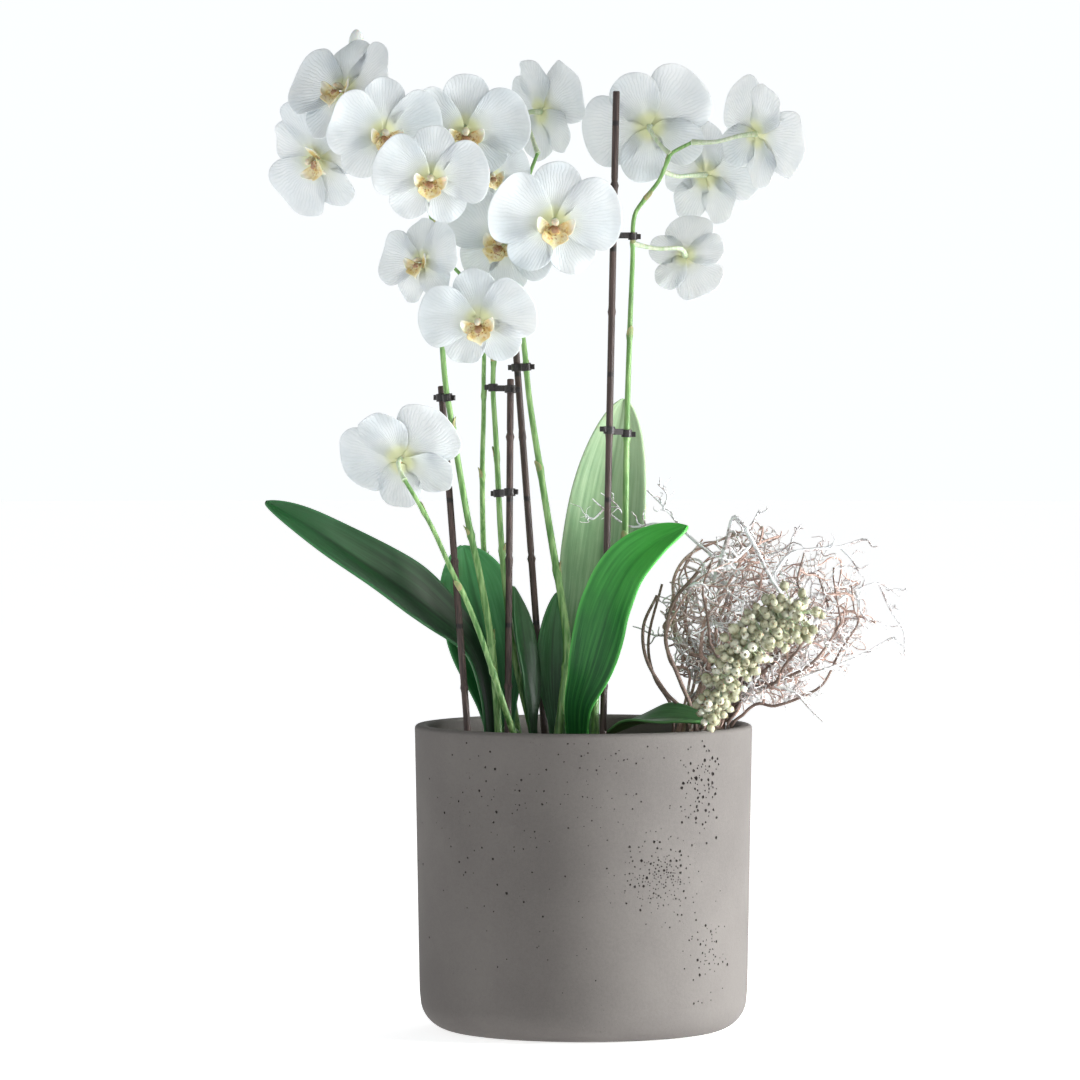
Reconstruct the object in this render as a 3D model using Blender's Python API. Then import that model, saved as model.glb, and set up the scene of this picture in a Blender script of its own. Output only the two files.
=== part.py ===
"""Potted moth orchid: two white-flowered plants in a round cement pot, with support stakes and clips,
and a ball of bleached twigs with a berry spray at the pot's right-hand rim.

Frame: +Z up, the origin at the centre of the pot's flat underside, -Y towards the viewer.
The tables and driving dimensions are in millimetres. Blender's objects are in metres.
"""

import math

import bmesh
import bpy
from mathutils import Matrix, Vector

MM = 0.001
CLEARANCE = 0.5  # air between pieces that touch on the real thing

# Pot: a straight-sided cement pot with a rounded lower edge
POT_HEIGHT = 226
POT_RIM_RADIUS = 125
POT_FOOT_RADIUS = 121
POT_WALL = 9
POT_FLOOR = 14
POT_EDGE_ROUND = 24
POT_RIM_ROUND = 3
POT_SIDES = 36

# Bark growing medium
MEDIUM_TOP = 198
STAKE_DEPTH = 120

# Crowns: the short thick stems that carry the leaves
CROWN_HALF = Vector((9, 9, 15))
CROWNS = {"crown_left": (-54, -4), "crown_right": (-6, 6)}

# Leaves: route of the midrib, half width, the way the upper face looks at base and tip, tip sharpness
LEAF_THICKNESS = 2.6
LEAF_ALONG, LEAF_ACROSS = 11, 4
LEAF_CHANNEL = 0.3  # how far the edges stand above the midrib, as a share of the half width
LEAF_TIP_CROWDING = 1.25  # above 1, the rows of faces stand closer together at the tip
LEAVES = {
    "leaf_left_long": {
        "route": [(-70, -7, 214), (-73, -6, 246), (-84, -5, 283), (-114, -12, 311),
                  (-157, -24, 342), (-200, -35, 371), (-234, -42, 391)],
        "half_width": 27, "faces": [(0.8, -0.4, 0.5), (0.35, -0.75, 0.55)], "tip": 1.35,
    },
    "leaf_left_round": {
        "route": [(-62, 15, 214), (-68, 24, 258), (-78, 31, 305), (-90, 36, 357)],
        "half_width": 31, "faces": [(0.2, -0.95, 0.2), (0.2, -0.95, 0.3)], "tip": 3.0,
    },
    "leaf_left_narrow": {
        "route": [(-38, -7, 214), (-40, -7, 250), (-45, -7, 290), (-52, -5, 328)],
        "half_width": 13, "faces": [(0.8, -0.6, 0.1), (0.8, -0.6, 0.2)], "tip": 1.6,
    },
    "leaf_middle_small": {
        "route": [(-20, 8, 214), (-23, 9, 250), (-23, 9, 285), (-19, 7, 323)],
        "half_width": 12, "faces": [(0.0, -1.0, 0.05), (0.0, -1.0, 0.1)], "tip": 1.8,
    },
    "leaf_right_tall": {
        "route": [(-5, 23, 214), (0, 36, 280), (11, 50, 330), (19, 60, 392), (26, 64, 435), (31, 66, 466)],
        "half_width": 31, "faces": [(0.0, -1.0, 0.1), (0.0, -1.0, 0.1)], "tip": 2.4,
    },
    "leaf_right_bright": {
        "route": [(-4, -14, 214), (-3, -25, 240), (5, -37, 264), (13, -46, 292), (21, -54, 318),
                  (34, -60, 343), (54, -66, 362), (76, -70, 374)],
        "half_width": 25, "faces": [(-0.3, -0.9, 0.2), (-0.5, -0.6, 0.6)], "tip": 2.4,
    },
    "leaf_right_low": {
        "route": [(13, 10, 212), (27, -12, 222), (48, -38, 231), (72, -56, 233), (94, -66, 231)],
        "half_width": 19, "faces": [(-0.1, -0.3, 0.9), (0.0, -0.35, 0.93)], "tip": 2.2,
    },
}

# Flower spikes: route of the stem, radius at base and tip
SPIKE_SIDES = 6
SPIKE_STEP = 28
SPIKES = {
    "spike_far_left": {
        "route": [(-62, -19, 205), (-64, -21, 241), (-68, -28, 287), (-76, -31, 335), (-84, -33, 372),
                  (-92, -32, 418), (-98, -31, 455), (-102, -30, 481), (-105, -26, 518), (-108, -20, 551),
                  (-110, -14, 584), (-115, -10, 612), (-127, -6, 641), (-145, 0, 673), (-160, 5, 696),
                  (-168, 8, 716)],
        "radius": (3.0, 1.3),
    },
    "spike_low_left": {
        "route": [(-46, -28, 205), (-58, -42, 240), (-72, -49, 283), (-85, -53, 317), (-97, -55, 342),
                  (-110, -57, 371), (-122, -59, 393), (-131, -61, 408)],
        "radius": (2.6, 1.5),
    },
    "spike_back_left": {
        "route": [(-46, 24, 205), (-58, 46, 270), (-70, 54, 320), (-74, 51, 350), (-75, 36, 382),
                  (-75, 24, 420), (-74, 18, 455), (-74, 13, 480), (-74, 3, 510), (-79, -7, 538),
                  (-89, -13, 556), (-98, -14, 566)],
        "radius": (2.7, 1.3),
    },
    "spike_centre_left": {
        "route": [(-34, 8, 205), (-50, 6, 270), (-57, 4, 320), (-61, 3, 363), (-63, 3, 400),
                  (-65, 4, 440), (-67, 6, 475), (-66, 9, 510), (-66, 12, 547), (-71, 10, 584),
                  (-76, 6, 605), (-83, 1, 625), (-89, -2, 641)],
        "radius": (2.8, 1.3),
    },
    "spike_centre_right": {
        "route": [(-21, -6, 205), (-16, -6, 240), (-12, -5, 281), (-16, -2, 317), (-23, 2, 358),
                  (-32, 4, 414), (-40, 3, 466), (-44, 1, 506), (-49, -1, 540), (-51, -4, 577),
                  (-48, -5, 606), (-40, -3, 632), (-34, 0, 648)],
        "radius": (3.4, 1.3),
    },
    "spike_right": {
        "route": [(9, -8, 205), (9, -4, 248), (17, -6, 282), (25, -10, 319), (30, -12, 356),
                  (31, -13, 393), (32, -14, 452), (34, -14, 518), (36, -14, 569), (37, -14, 600),
                  (45, -14, 614), (55, -15, 627), (60, -16, 638), (64, -15, 647), (72, -13, 652), (80, -12, 656)],
        "radius": (3.2, 1.3),
    },
}

# Support stakes: foot at the medium and top
STAKE_RADIUS = 2.7
STAKE_SIDES = 8
STAKES = {
    "stake_left": [(-84, -44, 206), (-105, -22, 476)],
    "stake_centre_left": [(-56, -30, 206), (-54, -4, 481)],
    "stake_centre_right": [(-28, 17, 206), (-51, 9, 516)],
    "stake_right": [(14, -24, 206), (24, -16, 693)],
}

# Clips: the stake and spike that each one ties, and its height
CLIP_HEIGHT = 6
CLIP_WALL = 2.2
CLIP_PLAY = 0.8
CLIP_CORNER = 0.42  # bevel of the upright edges, as a share of the width
CLIPS = {
    "clip_left": ("stake_left", "spike_far_left", 468),
    "clip_centre_left_upper": ("stake_centre_left", "spike_centre_left", 474),
    "clip_centre_left_lower": ("stake_centre_left", "spike_centre_left", 398),
    "clip_centre_right": ("stake_centre_right", "spike_centre_right", 490),
    "clip_right_upper": ("stake_right", "spike_right", 588),
    "clip_right_lower": ("stake_right", "spike_right", 444),
}

# Flowers: centre, the way it looks, how far it is rolled (degrees), size, and the spike that carries it
FLOWER_LOBES = (  # direction of each sepal or petal in degrees, its reach and its half spread
    (90, 42, 30),
    (13, 48, 50),
    (167, 48, 50),
    (-52, 40, 32),
    (-128, 40, 32),
)
FLOWER_THROAT = 15
FLOWER_DISH = 4.0
FLOWER_CORE = 1.8
FLOWER_SIDES = 20
LIP_HALF = Vector((9, 11, 8))
LIP_CENTRE = Vector((0, -5, 7))
PEDICEL_RADIUS = 1.5
PEDICEL_GAP = 1.4
PEDICEL_REACH = 30  # how far behind the flower its place on the spike is looked for
PEDICEL_LEAN = 14  # the foot points at a place this far behind the flower
PEDICEL_BOW = 0.35  # straight run behind the flower, as a share of the pedicel's length
PEDICEL_SAG = 2
FLOWERS = {
    "flower_01": ((-177, -14, 694), (-0.60, -0.70, 0.35), 4, 0.98, "spike_far_left"),
    "flower_02": ((-199, 28, 645), (-0.55, -0.70, -0.35), 62, 0.98, "spike_far_left"),
    "flower_03": ((-147, -60, 662), (0.36, -0.90, -0.20), 0, 0.92, "spike_far_left"),
    "flower_04": ((-112, -74, 629), (0.02, -0.95, -0.25), -6, 0.88, "spike_far_left"),
    "flower_05": ((-87, -30, 665), (0.05, -0.90, -0.40), 0, 0.98, "spike_centre_left"),
    "flower_06": ((-68, -10, 632), (0.30, -0.90, -0.20), 10, 0.60, "spike_centre_left"),
    "flower_07": ((-30, 32, 680), (0.75, 0.60, 0.15), -12, 0.92, "spike_centre_right"),
    "flower_08": ((-22, -54, 597), (0.12, -0.95, -0.20), -4, 1.02, "spike_centre_right"),
    "flower_09": ((-119, -36, 568), (-0.60, -0.75, 0.10), 10, 0.76, "spike_back_left"),
    "flower_10": ((-77, -50, 525), (-0.10, -0.90, -0.32), 6, 0.90, "spike_back_left"),
    "flower_11": ((-134, -44, 424), (0.24, 0.80, 0.50), -24, 1.00, "spike_low_left"),
    "flower_12": ((49, 14, 669), (0.00, 0.95, 0.25), -26, 1.02, "spike_right"),
    "flower_13": ((92, 30, 633), (0.66, 0.74, 0.05), 6, 0.94, "spike_right"),
    "flower_14": ((128, -22, 662), (0.76, 0.60, 0.10), 34, 0.94, "spike_right"),
    "flower_15": ((76, 10, 572), (0.30, 0.85, -0.35), 72, 0.70, "spike_right"),
    "flower_16": ((-60, -26, 582), (-0.30, -0.85, -0.10), -25, 0.88, "spike_centre_left"),
}

# Buds at the far-left spike's end: centre, length, width and lean
BUDS = {
    "bud_top": ((-168, 10, 730), 20, 11, (0.05, 0.05, 1.0)),
}

# Twig ball: stems that run like lines of longitude between its two poles, with side shoots
BALL_CENTRE = Vector((131, -5, 308))
BALL_HALF = Vector((86, 66, 74))
BALL_POLE = Vector((-0.45, -0.05, -0.90)).normalized()
TWIG_COUNT = 9
TWIG_SPAN = (18, 158)  # degrees from the lower pole
TWIG_RADIUS = (1.9, 1.1)
TWIG_TIP_RADIUS = 0.8
TWIG_SHOOTS = ((62, 13, 24, 1.13), (104, -13, 26, 1.15))  # start angle, turn, length angle, outward scale
TWIG_SIDES = 5
TWIG_POINTS, SHOOT_POINTS = 13, 4
TWIGS_BEHIND_BERRIES = (2, 3)
TWIG_FOOT = Vector((73, -6, 160))
TWIG_GATHER = 0.38  # how far the feet spread, as a share of the ball's own spread

# Berry spray: a chain of clusters that hangs from the ball's front down to the rim
BERRY_CLUSTERS = (
    ((150, -88, 316), 12), ((134, -91, 302), 15), ((118, -92, 286), 15),
    ((107, -91, 269), 14), ((100, -88, 252), 13), ((92, -80, 240), 11),
)


def clear_scene():
    for obj in list(bpy.data.objects):
        bpy.data.objects.remove(obj)


def make_material(name, colour, roughness, metallic=0.0):
    material = bpy.data.materials.new(name)
    material.use_nodes = True
    shader = material.node_tree.nodes["Principled BSDF"]
    shader.inputs["Base Color"].default_value = (*colour, 1)
    shader.inputs["Roughness"].default_value = roughness
    shader.inputs["Metallic"].default_value = metallic
    return material


def add_object(name, bm, material, smooth=True):
    """Turns a bmesh that is in millimetres into an object in metres."""
    bmesh.ops.scale(bm, vec=(MM, MM, MM), verts=bm.verts)
    mesh = bpy.data.meshes.new(name)
    bm.to_mesh(mesh)
    bm.free()
    if smooth:
        mesh.shade_smooth()
        mesh.set_sharp_from_angle(angle=math.radians(40))
    obj = bpy.data.objects.new(name, mesh)
    bpy.context.scene.collection.objects.link(obj)
    if material:
        mesh.materials.append(material)
    return obj


def combine(name, parts, material, operation="UNION"):
    """One object from the first bmesh with the others joined to it, or cut from it."""
    body, *others = [add_object(f"{name}_piece_{i}", bm, None) for i, bm in enumerate(parts)]
    for other in others:
        step = body.modifiers.new(operation.title(), "BOOLEAN")
        step.object = other
        step.operation = operation
    graph = bpy.context.evaluated_depsgraph_get()
    mesh = bpy.data.meshes.new_from_object(body.evaluated_get(graph))
    for helper in (body, *others):
        bpy.data.objects.remove(helper)
    mesh.name = name
    mesh.materials.clear()
    mesh.materials.append(material)
    obj = bpy.data.objects.new(name, mesh)
    bpy.context.scene.collection.objects.link(obj)
    return obj


class Route:
    """A smooth curve through a few points, read by the share of its length."""

    STEPS = 12

    def __init__(self, points):
        knots = [Vector(p) for p in points]
        knots = [knots[0] * 2 - knots[1], *knots, knots[-1] * 2 - knots[-2]]
        self.points = []
        for before, start, end, after in zip(knots, knots[1:], knots[2:], knots[3:]):
            for step in range(self.STEPS):
                t = step / self.STEPS
                self.points.append(0.5 * (
                    2 * start
                    + (end - before) * t
                    + (2 * before - 5 * start + 4 * end - after) * t ** 2
                    + (3 * start - before - 3 * end + after) * t ** 3
                ))
        self.points.append(knots[-2])
        self.lengths = [0.0]
        for a, b in zip(self.points, self.points[1:]):
            self.lengths.append(self.lengths[-1] + (b - a).length)

    def at(self, share):
        goal = max(0.0, min(1.0, share)) * self.lengths[-1]
        i = next((i for i, run in enumerate(self.lengths[1:]) if run >= goal), len(self.lengths) - 2)
        span = self.lengths[i + 1] - self.lengths[i]
        return self.points[i].lerp(self.points[i + 1], (goal - self.lengths[i]) / span)

    def direction(self, share):
        return (self.at(share + 0.01) - self.at(share - 0.01)).normalized()

    def direction_at(self, point):
        i = self.points.index(point)
        return (self.points[min(i + 1, len(self.points) - 1)] - self.points[max(i - 1, 0)]).normalized()

    def even_points(self, count):
        return [self.at(i / (count - 1)) for i in range(count)]

    def nearest(self, point):
        return min(self.points, key=lambda p: (p - point).length)

    def at_height(self, z):
        return min(self.points, key=lambda p: abs(p.z - z))


def tube(points, radii, sides):
    """A round tube with flat ends, its rings square to the route."""
    bm = bmesh.new()
    aim = (points[1] - points[0]).normalized()
    turn = aim.to_track_quat("Z", "Y").to_matrix()
    rings = []
    for i, (point, radius) in enumerate(zip(points, radii)):
        ahead = points[min(i + 1, len(points) - 1)] - points[max(i - 1, 0)]
        turn = aim.rotation_difference(ahead.normalized()).to_matrix() @ turn
        aim = ahead.normalized()
        place = Matrix.Translation(point) @ turn.to_4x4()
        rings.append(bmesh.ops.create_circle(bm, segments=sides, radius=radius, matrix=place)["verts"])
    for low, high in zip(rings, rings[1:]):
        for i in range(sides):
            j = (i + 1) % sides
            bm.faces.new((low[i], low[j], high[j], high[i]))
    bm.faces.new(reversed(rings[0]))
    bm.faces.new(rings[-1])
    bmesh.ops.recalc_face_normals(bm, faces=bm.faces)
    return bm


def tapered(points, radius):
    """Radii that run evenly from the first to the last value of radius."""
    last = len(points) - 1
    return [radius[0] + (radius[1] - radius[0]) * i / last for i in range(len(points))]


def arc(centre, radius, start, end, steps):
    """Points (radius from the axis, height) along a quarter round of the pot's profile."""
    angles = [math.radians(start + (end - start) * i / steps) for i in range(steps + 1)]
    return [(centre[0] + radius * math.cos(a), centre[1] + radius * math.sin(a)) for a in angles]


def turned(profile, sides):
    """Spins an outline of (radius, height) points that starts and ends on the axis."""
    bm = bmesh.new()
    verts = [bm.verts.new((r, 0, z)) for r, z in profile]
    edges = [bm.edges.new(pair) for pair in zip(verts, verts[1:])]
    bmesh.ops.spin(bm, geom=verts + edges, angle=2 * math.pi, steps=sides, axis=(0, 0, 1), use_merge=True)
    bmesh.ops.remove_doubles(bm, verts=bm.verts, dist=0.001)
    bmesh.ops.recalc_face_normals(bm, faces=bm.faces)
    return bm


def inner_radius(height):
    """Radius of the pot's cavity at a height."""
    outer = POT_FOOT_RADIUS + (POT_RIM_RADIUS - POT_FOOT_RADIUS) * height / POT_HEIGHT
    return outer - POT_WALL


def build_pot(material):
    cavity_round = POT_EDGE_ROUND - POT_WALL
    profile = [(0, 0)]
    profile += arc((POT_FOOT_RADIUS - POT_EDGE_ROUND, POT_EDGE_ROUND), POT_EDGE_ROUND, -90, 0, 4)
    profile += arc((POT_RIM_RADIUS - POT_RIM_ROUND, POT_HEIGHT - POT_RIM_ROUND), POT_RIM_ROUND, 0, 90, 2)
    profile += arc((POT_RIM_RADIUS - POT_WALL + POT_RIM_ROUND, POT_HEIGHT - POT_RIM_ROUND),
                   POT_RIM_ROUND, 90, 180, 2)
    profile += arc((inner_radius(POT_FLOOR) - cavity_round, POT_FLOOR + cavity_round), cavity_round, 0, -90, 2)
    profile += [(0, POT_FLOOR)]
    add_object("pot", turned(profile, POT_SIDES), material)


def socket(foot, aim, depth, radius):
    """A cutter for the hole that a stake or stem makes in the medium."""
    aim = aim.normalized()
    bottom = foot - aim * (depth + CLEARANCE)
    top = foot + aim * (MEDIUM_TOP - foot.z + 25) / aim.z
    return tube([bottom, top], [radius + CLEARANCE] * 2, STAKE_SIDES)


def build_medium(material, cutters):
    floor = POT_FLOOR + CLEARANCE
    low = inner_radius(floor) - POT_EDGE_ROUND + POT_WALL - CLEARANCE
    wide = inner_radius(POT_EDGE_ROUND + POT_FLOOR) - 1
    profile = [(0, floor), (low, floor), (wide, POT_EDGE_ROUND + POT_FLOOR),
               (inner_radius(MEDIUM_TOP) - 1, MEDIUM_TOP), (0, MEDIUM_TOP)]
    combine("bark_medium", [turned(profile, POT_SIDES), *cutters], material, "DIFFERENCE")


def build_crown(name, material):
    x, y = CROWNS[name]
    bm = bmesh.new()
    bmesh.ops.create_uvsphere(bm, u_segments=10, v_segments=6, radius=1)
    bmesh.ops.scale(bm, vec=CROWN_HALF, verts=bm.verts)
    bmesh.ops.translate(bm, vec=(x, y, MEDIUM_TOP + CROWN_HALF.z + CLEARANCE), verts=bm.verts)
    add_object(name, bm, material)


def leaf_width(share, tip):
    """Half width as a share of the widest place: a narrow foot, widest past the middle, a rounded tip."""
    rise = min(share / 0.55, 1)
    foot = 0.36 + 0.64 * rise * rise * (3 - 2 * rise)
    end = max(0.0, (share - 0.5) / 0.5)
    return max(foot * (1 - end ** tip) ** 0.6, 0.08)


def build_leaf(name, material):
    leaf = LEAVES[name]
    route = Route(leaf["route"])
    base_face, tip_face = [Vector(v).normalized() for v in leaf["faces"]]
    bm = bmesh.new()
    bmesh.ops.create_grid(bm, x_segments=LEAF_ACROSS, y_segments=LEAF_ALONG, size=1)
    for vert in bm.verts:
        side, share = vert.co.x, (vert.co.y + 1) / 2
        share = 1 - (1 - share) ** LEAF_TIP_CROWDING
        along = route.direction(share)
        across = along.cross(base_face.lerp(tip_face, share)).normalized()
        up = across.cross(along)
        half = leaf["half_width"] * leaf_width(share, leaf["tip"])
        vert.co = route.at(share) + across * side * half + up * abs(side) ** 1.5 * half * LEAF_CHANNEL
    obj = add_object(name, bm, material)
    thick = obj.modifiers.new("Solidify", "SOLIDIFY")
    thick.thickness = LEAF_THICKNESS * MM
    thick.offset = 0


def build_spike(name, material):
    spike = SPIKES[name]
    route = Route(spike["route"])
    points = route.even_points(round(route.lengths[-1] / SPIKE_STEP))
    add_object(name, tube(points, tapered(points, spike["radius"]), SPIKE_SIDES), material)


def stake_line(name):
    foot, top = [Vector(p) for p in STAKES[name]]
    return foot, top, (top - foot).normalized()


def build_stake(name, material):
    foot, top, aim = stake_line(name)
    add_object(name, tube([foot - aim * STAKE_DEPTH, top], [STAKE_RADIUS] * 2, STAKE_SIDES), material)


def build_clip(name, material):
    """A flat clip with one hole for the stake and one for the flower spike."""
    stake, spike, height = CLIPS[name]
    foot, _, aim = stake_line(stake)
    at_stake = foot + aim * (height - foot.z) / aim.z
    route = Route(SPIKES[spike]["route"])
    at_spike = route.at_height(height)
    share = route.points.index(at_spike) / len(route.points)
    spike_aim = route.direction(share)
    start, end = SPIKES[spike]["radius"]
    hole = max(STAKE_RADIUS, start + (end - start) * share) + CLIP_PLAY
    middle = (at_stake + at_spike) / 2
    length = (at_spike - at_stake).length + 2 * (hole + CLIP_WALL)
    width = 2 * (hole + CLIP_WALL)
    bm = bmesh.new()
    bmesh.ops.create_cube(bm, size=1)
    bmesh.ops.scale(bm, vec=(length, width, CLIP_HEIGHT), verts=bm.verts)
    corners = [e for e in bm.edges if abs(e.verts[0].co.z - e.verts[1].co.z) > 1]
    bmesh.ops.bevel(bm, geom=corners, offset=width * CLIP_CORNER, segments=2, profile=0.5, affect="EDGES")
    heading = at_spike - at_stake
    turn = Matrix.Rotation(math.atan2(heading.y, heading.x), 4, "Z")
    bmesh.ops.transform(bm, matrix=Matrix.Translation(middle) @ turn, verts=bm.verts)
    holes = [
        tube([at - way * CLIP_HEIGHT, at + way * CLIP_HEIGHT], [hole] * 2, STAKE_SIDES)
        for at, way in ((at_stake, aim), (at_spike, spike_aim))
    ]
    combine(name, [bm, *holes], material, "DIFFERENCE")


def lobe_reach(degrees):
    """Distance from the flower's centre to its outline in one direction."""
    reach = FLOWER_THROAT
    for centre, length, spread in FLOWER_LOBES:
        off = abs((degrees - centre + 180) % 360 - 180) / spread
        if off < 1:
            reach = max(reach, length * (1 - off ** 4) ** 0.5)
    return reach


def flower_turn(looks, roll):
    """Rotation that carries +Z to the way the flower looks and +Y to its upper sepal."""
    ahead = Vector(looks).normalized()
    right = Vector((0, 0, 1)).cross(ahead).normalized()
    level = Matrix((right, ahead.cross(right), ahead)).transposed()
    return level @ Matrix.Rotation(math.radians(roll), 3, "Z")


def build_flower(name, material):
    centre, looks, roll, size, spike = FLOWERS[name]
    centre = Vector(centre)
    turn = flower_turn(looks, roll)
    place = Matrix.Translation(centre) @ turn.to_4x4() @ Matrix.Scale(size, 4)

    blades = bmesh.new()
    bmesh.ops.create_uvsphere(blades, u_segments=FLOWER_SIDES, v_segments=4, radius=1)
    for vert in blades.verts:
        share = math.hypot(vert.co.x, vert.co.y)
        angle = math.atan2(vert.co.y, vert.co.x)
        reach = lobe_reach(math.degrees(angle)) * share
        dish = FLOWER_DISH * share ** 2 + math.copysign(FLOWER_CORE, vert.co.z) * (1 - share)
        vert.co = (reach * math.cos(angle), reach * math.sin(angle), dish)
    bmesh.ops.transform(blades, matrix=place, verts=blades.verts)

    lip = bmesh.new()
    bmesh.ops.create_icosphere(lip, subdivisions=1, radius=1)
    bmesh.ops.scale(lip, vec=LIP_HALF, verts=lip.verts)
    bmesh.ops.translate(lip, vec=LIP_CENTRE, verts=lip.verts)
    bmesh.ops.transform(lip, matrix=place, verts=lip.verts)

    back = turn @ Vector((0, 0, -1))
    stem = Route(SPIKES[spike]["route"])
    joint = stem.nearest(centre + back * PEDICEL_REACH)
    start, end = SPIKES[spike]["radius"]
    radius = start + (end - start) * stem.points.index(joint) / len(stem.points)
    out = centre + back * PEDICEL_LEAN - joint
    out -= out.project(stem.direction_at(joint))
    foot = joint + out.normalized() * (radius + PEDICEL_RADIUS + PEDICEL_GAP)
    turn_in = centre + back * (centre - joint).length * PEDICEL_BOW
    bend = Route([foot, foot.lerp(turn_in, 0.5) - Vector((0, 0, PEDICEL_SAG)), turn_in, centre])
    pedicel = tube(bend.even_points(6), [PEDICEL_RADIUS] * 6, 5)
    combine(name, [blades, lip, pedicel], material)


def build_bud(name, material):
    centre, length, width, lean = BUDS[name]
    bm = bmesh.new()
    bmesh.ops.create_uvsphere(bm, u_segments=8, v_segments=6, radius=1)
    bmesh.ops.scale(bm, vec=(width / 2, width / 2, length / 2), verts=bm.verts)
    turn = Vector(lean).to_track_quat("Z", "Y").to_matrix().to_4x4()
    bmesh.ops.transform(bm, matrix=Matrix.Translation(centre) @ turn, verts=bm.verts)
    add_object(name, bm, material)


def ball_point(along, around, scale=1.0):
    """A point on the twig ball: degrees from the lower pole, degrees around the pole axis."""
    side = BALL_POLE.cross(Vector((0, 1, 0))).normalized()
    other = BALL_POLE.cross(side)
    a, b = math.radians(along), math.radians(around)
    way = BALL_POLE * math.cos(a) + (side * math.cos(b) + other * math.sin(b)) * math.sin(a)
    return BALL_CENTRE + Vector(w * h for w, h in zip(way, BALL_HALF)) * scale


def twig_routes(index):
    """The main stem of one twig and its side shoots."""
    around = 360 / TWIG_COUNT * index
    shell = 0.97 if index % 2 else 0.86
    start, end = TWIG_SPAN
    low = ball_point(start, around, shell)
    foot = TWIG_FOOT + (low - ball_point(0, 0)) * TWIG_GATHER
    foot.z = TWIG_FOOT.z
    ring = [ball_point(start + (end - start) * i / 9, around, shell) for i in range(10)]
    routes = [(Route([foot, foot.lerp(low, 0.6), *ring]), TWIG_RADIUS, TWIG_POINTS)]
    shoots = () if index in TWIGS_BEHIND_BERRIES else TWIG_SHOOTS
    for start, turn, span, outward in shoots:
        inner = ball_point(start, around, shell)
        middle = ball_point(start + span / 2, around + turn / 2, (shell + outward) / 2)
        outer = ball_point(start + span, around + turn, outward)
        routes.append((Route([inner, middle, outer]), (TWIG_RADIUS[1], TWIG_TIP_RADIUS), SHOOT_POINTS))
    return routes


def build_twig(index, material):
    parts = []
    for route, radius, count in twig_routes(index):
        points = route.even_points(count)
        parts.append(tube(points, tapered(points, radius), TWIG_SIDES))
    combine(f"twig_{index + 1:02d}", parts, material)


def build_berries(material):
    parts = []
    for centre, radius in BERRY_CLUSTERS:
        bm = bmesh.new()
        bmesh.ops.create_icosphere(bm, subdivisions=1, radius=radius)
        bmesh.ops.translate(bm, vec=centre, verts=bm.verts)
        parts.append(bm)
    combine("berry_spray", parts, material)


def main():
    clear_scene()
    cement = make_material("cement", (0.22, 0.20, 0.19), 0.85)
    bark = make_material("bark", (0.16, 0.09, 0.05), 0.9)
    leaf_green = make_material("leaf_green", (0.05, 0.22, 0.04), 0.4)
    stem_green = make_material("stem_green", (0.16, 0.34, 0.08), 0.5)
    petal = make_material("petal_white", (0.86, 0.88, 0.87), 0.5)
    cane = make_material("stake_brown", (0.05, 0.03, 0.03), 0.6)
    plastic = make_material("clip_black", (0.02, 0.02, 0.02), 0.45)
    twig = make_material("twig_bleached", (0.62, 0.56, 0.52), 0.8)
    berry = make_material("berry_cream", (0.70, 0.70, 0.54), 0.5)

    build_pot(cement)
    sockets = [socket(foot, aim, STAKE_DEPTH, STAKE_RADIUS) for foot, _, aim in map(stake_line, STAKES)]
    for index in range(TWIG_COUNT):
        points = twig_routes(index)[0][0].even_points(TWIG_POINTS)
        aim = points[1] - points[0]
        sockets.append(socket(points[0] + aim, aim, aim.length, TWIG_RADIUS[0]))
    build_medium(bark, sockets)
    for name in CROWNS:
        build_crown(name, stem_green)
    for name in LEAVES:
        build_leaf(name, leaf_green)
    for name in SPIKES:
        build_spike(name, stem_green)
    for name in STAKES:
        build_stake(name, cane)
    for name in CLIPS:
        build_clip(name, plastic)
    for name in FLOWERS:
        build_flower(name, petal)
    for name in BUDS:
        build_bud(name, petal)
    for index in range(TWIG_COUNT):
        build_twig(index, twig)
    build_berries(berry)


main()
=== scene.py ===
# Looks for the potted moth orchid: petals, lips, leaves, stems, bleached twigs, berries, bark and cement.
# Sizes in the dictionaries are millimetres in the model's own frame: +Z up, the flowers look towards -Y.
import math
import random

import bmesh
import bpy
from mathutils import Matrix, Vector, noise


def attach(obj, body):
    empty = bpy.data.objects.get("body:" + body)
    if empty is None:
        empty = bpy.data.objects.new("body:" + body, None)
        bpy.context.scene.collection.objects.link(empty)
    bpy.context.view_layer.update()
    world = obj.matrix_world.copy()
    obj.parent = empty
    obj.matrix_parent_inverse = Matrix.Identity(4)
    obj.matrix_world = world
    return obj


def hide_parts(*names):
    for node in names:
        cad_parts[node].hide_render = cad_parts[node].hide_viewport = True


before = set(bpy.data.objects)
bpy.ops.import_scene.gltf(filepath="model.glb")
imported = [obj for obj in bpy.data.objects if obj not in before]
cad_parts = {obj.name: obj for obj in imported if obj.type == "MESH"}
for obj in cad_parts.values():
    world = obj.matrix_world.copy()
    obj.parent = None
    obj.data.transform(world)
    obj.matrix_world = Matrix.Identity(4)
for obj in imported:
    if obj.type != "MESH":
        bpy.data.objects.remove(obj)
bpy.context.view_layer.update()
mm = 0.001


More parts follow.
